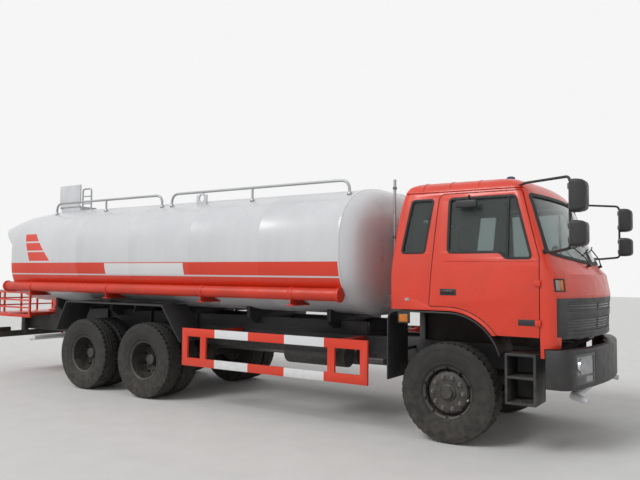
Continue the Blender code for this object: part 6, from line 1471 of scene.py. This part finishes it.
# %% Wipers and dome lamp


def on_screen(y, z, stand):
    """The point of the cab's front at a width and a height, moved out by a little."""
    levels = smooth_levels()
    for low, high in zip(levels, levels[1:]):
        if low[0] <= z <= high[0]:
            share = (z - low[0]) / (high[0] - low[0])
            level = [a + (b - a) * share for a, b in zip(low, high)]
            break
    corner, front = CAB_CORNER_X * level[2], CAB_FRONT_X * level[3]
    edge = CAB_HALF_WIDTH * level[4] - FRONT_CORNER * (1 - math.sin(math.radians(CORNER_TURN)))
    x = corner + (front - corner) * (1 - (y / edge) ** 2)
    return Vector((x + stand * 0.93, y, z + stand * 0.36))


WIPER_Z, WIPER_STEPS = 1.862, 10
WIPERS = ((-0.30, (-0.62, 2.04), (-0.98, 1.995), (-0.28, 2.075)),
          (0.42, (0.10, 2.04), (-0.20, 1.985), (0.42, 2.085)))
DOME_PLACE = (0.55, -0.62)
DOME_RINGS = ((2.74, 0.050), (2.788, 0.050), (2.792, 0.046), (2.806, 0.045), (2.814, 0.038),
              (2.819, 0.024), (2.820, 0.008))
wipers = []
for pivot, tip, start, end in WIPERS:
    root = on_screen(pivot, WIPER_Z, 0.012)
    wipers.append(bar(on_screen(pivot, WIPER_Z, -0.02), root + Vector((0.022, 0, 0.01)),
                      0.016, 24))
    wipers.append(pipe([root + Vector((0.014, 0, 0.006)), on_screen(pivot - 0.12, 1.935, 0.045),
                        on_screen(*tip, 0.030)], 0.0065, 0.04))
    blade = [Vector(start).lerp(Vector(end), k / WIPER_STEPS) for k in range(WIPER_STEPS + 1)]
    wipers.append(pipe([on_screen(y, z, 0.016) for y, z in blade], 0.0075))
keep(merged(wipers), "wipers", plastic_black, "cab")
rings = [[(*point, z) for point in circle(DOME_PLACE, radius, 40)] for z, radius in DOME_RINGS]
keep(loft(rings), "dome_lamp", lens_blue, "cab", ["beacon"])
print("wipers and dome lamp done")

# %% [markdown]
# ## Seats
# Cushions are soft: a fine box is swollen towards its middle, its corners drawn in and its top
# quilted in channels.

# %% Seats

PLEATS, PLEAT_DEPTH, CROWN_RISE, CUSHION_CUTS = 3.5, 0.010, 0.012, 22


def cushion(x_ends, y_ends, z_ends, up="Z", lean=0.0):
    """A padded block with drawn-in corners, and channels in the face that looks up an axis."""
    middle = [(a + b) / 2 for a, b in (x_ends, y_ends, z_ends)]
    half = [abs(b - a) / 2 for a, b in (x_ends, y_ends, z_ends)]
    top, along = ("X", "Y", "Z").index(up), (2 if up == "X" else 0)
    shape = bmesh.new()
    bmesh.ops.create_cube(shape, size=2.0)
    bmesh.ops.subdivide_edges(shape, edges=shape.edges, cuts=CUSHION_CUTS, use_grid_fill=True)
    for vert in shape.verts:
        u, v, w = vert.co
        across = vert.co[along]
        drawn = (u * (1 - 0.05 * v**4 - 0.16 * w**6), v * (1 - 0.05 * u**4 - 0.10 * w**6),
                 w * (1 - 0.16 * u**6 - 0.16 * v**6))
        seam = max(0.0, 1 - abs((abs(v) * PLEATS + 0.5) % 1 - 0.5) * 7) * PLEAT_DEPTH
        inner = max(0.0, 1 - max(abs(across), abs(v)) ** 8)
        point = [m + h * d for m, h, d in zip(middle, half, drawn)]
        if vert.co[top] > 0.9:
            point[top] += (CROWN_RISE * (1 - across * across) * (1 - v * v) - seam) * inner
        point[0] += lean * (point[2] - z_ends[0])
        vert.co = point
    return from_shape(shape)


base = rounded(box((-0.485, 0.13), (-0.95, 0.95), (1.4305, 1.60)), 0.01)
keep(base, "seat_base", inside_grey, "cab", ["seats"])
for number, y in enumerate((-0.60, 0.0, 0.60)):
    seat = cushion((-0.41, 0.258), (y - 0.258, y + 0.258), (1.595, 1.748))
    back = cushion((-0.475, -0.340), (y - 0.255, y + 0.255), (1.64, 2.35), "X", -0.008)
    for word, item in (("seat", seat), ("rest", back)):
        piece = keep(item, "%s_cushion_%d" % (word, number), seat_vinyl, "cab", smooth=80)
print("seats done")

# %% [markdown]
# ## Small lamps and markers
# Tail lamps on the rear beam and an amber marker behind each front wheel are thin lenses on the
# solids that carry them.

# %% Tail lamps and side markers
TAIL_LAMP_Y, TAIL_LAMP_Z, TAIL_GAP = (0.74, 1.10), (0.66, 0.76), 0.004
TAIL_LENSES = (("stop", lens_red, 0.0, 0.45), ("turn", lens_amber, 0.45, 0.72),
               ("reverse", lens_clear, 0.72, 1.0))
low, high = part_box("underrun_bar")
rear_x = low.x - AXLE_X
for word, colour, inner, outer in TAIL_LENSES:
    y0, y1 = (-(TAIL_LAMP_Y[0] + (TAIL_LAMP_Y[1] - TAIL_LAMP_Y[0]) * share)
              for share in (inner, outer))
    item = box((rear_x - 0.007, rear_x + 0.006), (y0 - TAIL_GAP, y1 + TAIL_GAP), TAIL_LAMP_Z)
    keep_pair(rounded(item, 0.002), "tail_%s_lens" % word, colour, CHASSIS_PAIR)
tab = box((-0.52, -0.38), (-1.176, -1.160), (1.235, 1.362))
keep_pair(rounded(tab, 0.003), "marker_tab", plastic_black, CHASSIS_PAIR)
marker = box((-0.50, -0.40), (-1.1845, -1.174), (1.25, 1.33))
keep_pair(rounded(marker, 0.004, 3), "marker_lens", lens_amber, CHASSIS_PAIR)
print("lamps done")

# %% [markdown]
# ## The pieces that keep their solid's shape
# Frames, axles, brackets and rails are already true as solids, but their edges are perfectly
# sharp, and no edge of pressed or cast metal is. A copy with rounded edges stands in for each:
# the bevel catches a thin line of light along every edge, which is most of what makes metal
# look like metal.

# %% Frame, axles and fittings with rounded edges
SOFT = (
    (frame_black, 0.004, "frame cradle air_tanks underrun_bar step_right step_left"),
    (frame_black, 0.003, "tandem_mudguard_right tandem_mudguard_left"),
    (plastic_black, 0.005, "front_mudguard_right front_mudguard_left"),
    (cast_iron, 0.006, "front_axle axle_mid axle_rear knuckle_right knuckle_left"),
    (cast_iron, 0.004, "bogie_springs engine"),
    (steel, 0.003, "prop_shaft_front prop_shaft_rear"),
    (steel, 0.012, "fuel_tank"),
    (red_paint, 0.003, "platform cannon_pedestal cannon_yoke cannon_barrel"),
    (white_paint, 0.002, "rear_spray_pipes front_spray_bar hatch_lid"),
    (inside_grey, 0.004, "dashboard"),
)
for finish, width, names in SOFT:
    for name in names.split():
        softened(name, finish, width)
print("softened:", sum(len(names.split()) for finish, width, names in SOFT))

# %% [markdown]
# ## Floor, light and camera
# The floor is pale and the light soft, so colours render about as they are written. World
# light alone would leave no shadow direction, so a wide sun from the camera's left adds a
# gentle one. What the camera, mirrors and glass see of the world is brighter than what lights
# the truck, so the backdrop reads as plain pale air.

# %% Floor and light
FLOOR_REACH = 60.0
WORLD_LIGHT, BACKDROP_LIGHT = 0.62, 0.92
SUN_POWER = 1.7
SUN_SPREAD_DEG = 25.0
SUN_TURN = (48.0, 8.0, -28.0)

floor = box((-FLOOR_REACH, FLOOR_REACH), (-FLOOR_REACH, FLOOR_REACH), (-0.05, 0.0))
floor.name = "floor"
floor_finish = Tree("floor_pale", (0.62, 0.62, 0.61), 0.8)
speckle = floor_finish.span(floor_finish.noise(3.0, 8.0), 0.3, 0.7)
floor_finish.set("Base Color", floor_finish.mix(speckle, (0.60, 0.60, 0.59), (0.64, 0.64, 0.63)))
floor.data.materials.append(floor_finish.material)

world = bpy.data.worlds.new("air")
bpy.context.scene.world = world
world.use_nodes = True
nodes, links = world.node_tree.nodes, world.node_tree.links
air = nodes["Background"]
air.inputs["Color"].default_value = (1.0, 1.0, 1.0, 1.0)
rays = nodes.new("ShaderNodeLightPath")
power = nodes.new("ShaderNodeMapRange")
power.inputs["To Min"].default_value = WORLD_LIGHT
power.inputs["To Max"].default_value = BACKDROP_LIGHT
seen = rays.outputs["Is Camera Ray"]
for kind in ("Is Glossy Ray", "Is Transmission Ray"):
    total = nodes.new("ShaderNodeMath")
    total.use_clamp = True
    links.new(seen, total.inputs[0])
    links.new(rays.outputs[kind], total.inputs[1])
    seen = total.outputs[0]
links.new(seen, power.inputs["Value"])
links.new(power.outputs[0], air.inputs["Strength"])

sun_data = bpy.data.lights.new("sun", "SUN")
sun_data.energy = SUN_POWER
sun_data.angle = math.radians(SUN_SPREAD_DEG)
sun = bpy.data.objects.new("sun", sun_data)
sun.rotation_euler = [math.radians(angle) for angle in SUN_TURN]
bpy.context.scene.collection.objects.link(sun)

# %% [markdown]
# The camera stands where the photograph was taken from: ahead of the truck on its right, at
# chest height, looking back and a little up. Its height and turn come from the lines of the
# tank and the frame, and its lens from how fast they draw together.

# %% Camera
CAMERA_PLACE = (6.1145, -7.549, 1.733)
CAMERA_YAW = 32.785
CAMERA_PITCH = 3.168
CAMERA_ROLL = 0.568
LENS = 36.433

yaw, pitch, roll = (math.radians(a) for a in (CAMERA_YAW, CAMERA_PITCH, CAMERA_ROLL))
ahead = Vector((-math.sin(yaw) * math.cos(pitch), math.cos(yaw) * math.cos(pitch),
                math.sin(pitch)))
level = ahead.cross(Vector((0, 0, 1))).normalized()
above = level.cross(ahead)
right = level * math.cos(roll) + above * math.sin(roll)
above = above * math.cos(roll) - level * math.sin(roll)
camera_data = bpy.data.cameras.new("camera")
camera_data.lens = LENS
camera_data.sensor_width = 36.0
camera_data.clip_end = 300.0
camera = bpy.data.objects.new("camera", camera_data)
turn = Matrix((right, above, -ahead)).transposed().to_4x4()
camera.matrix_world = Matrix.Translation(CAMERA_PLACE) @ turn
bpy.context.scene.collection.objects.link(camera)
bpy.context.scene.camera = camera
bpy.context.scene.view_settings.view_transform = "Standard"
print("camera set")
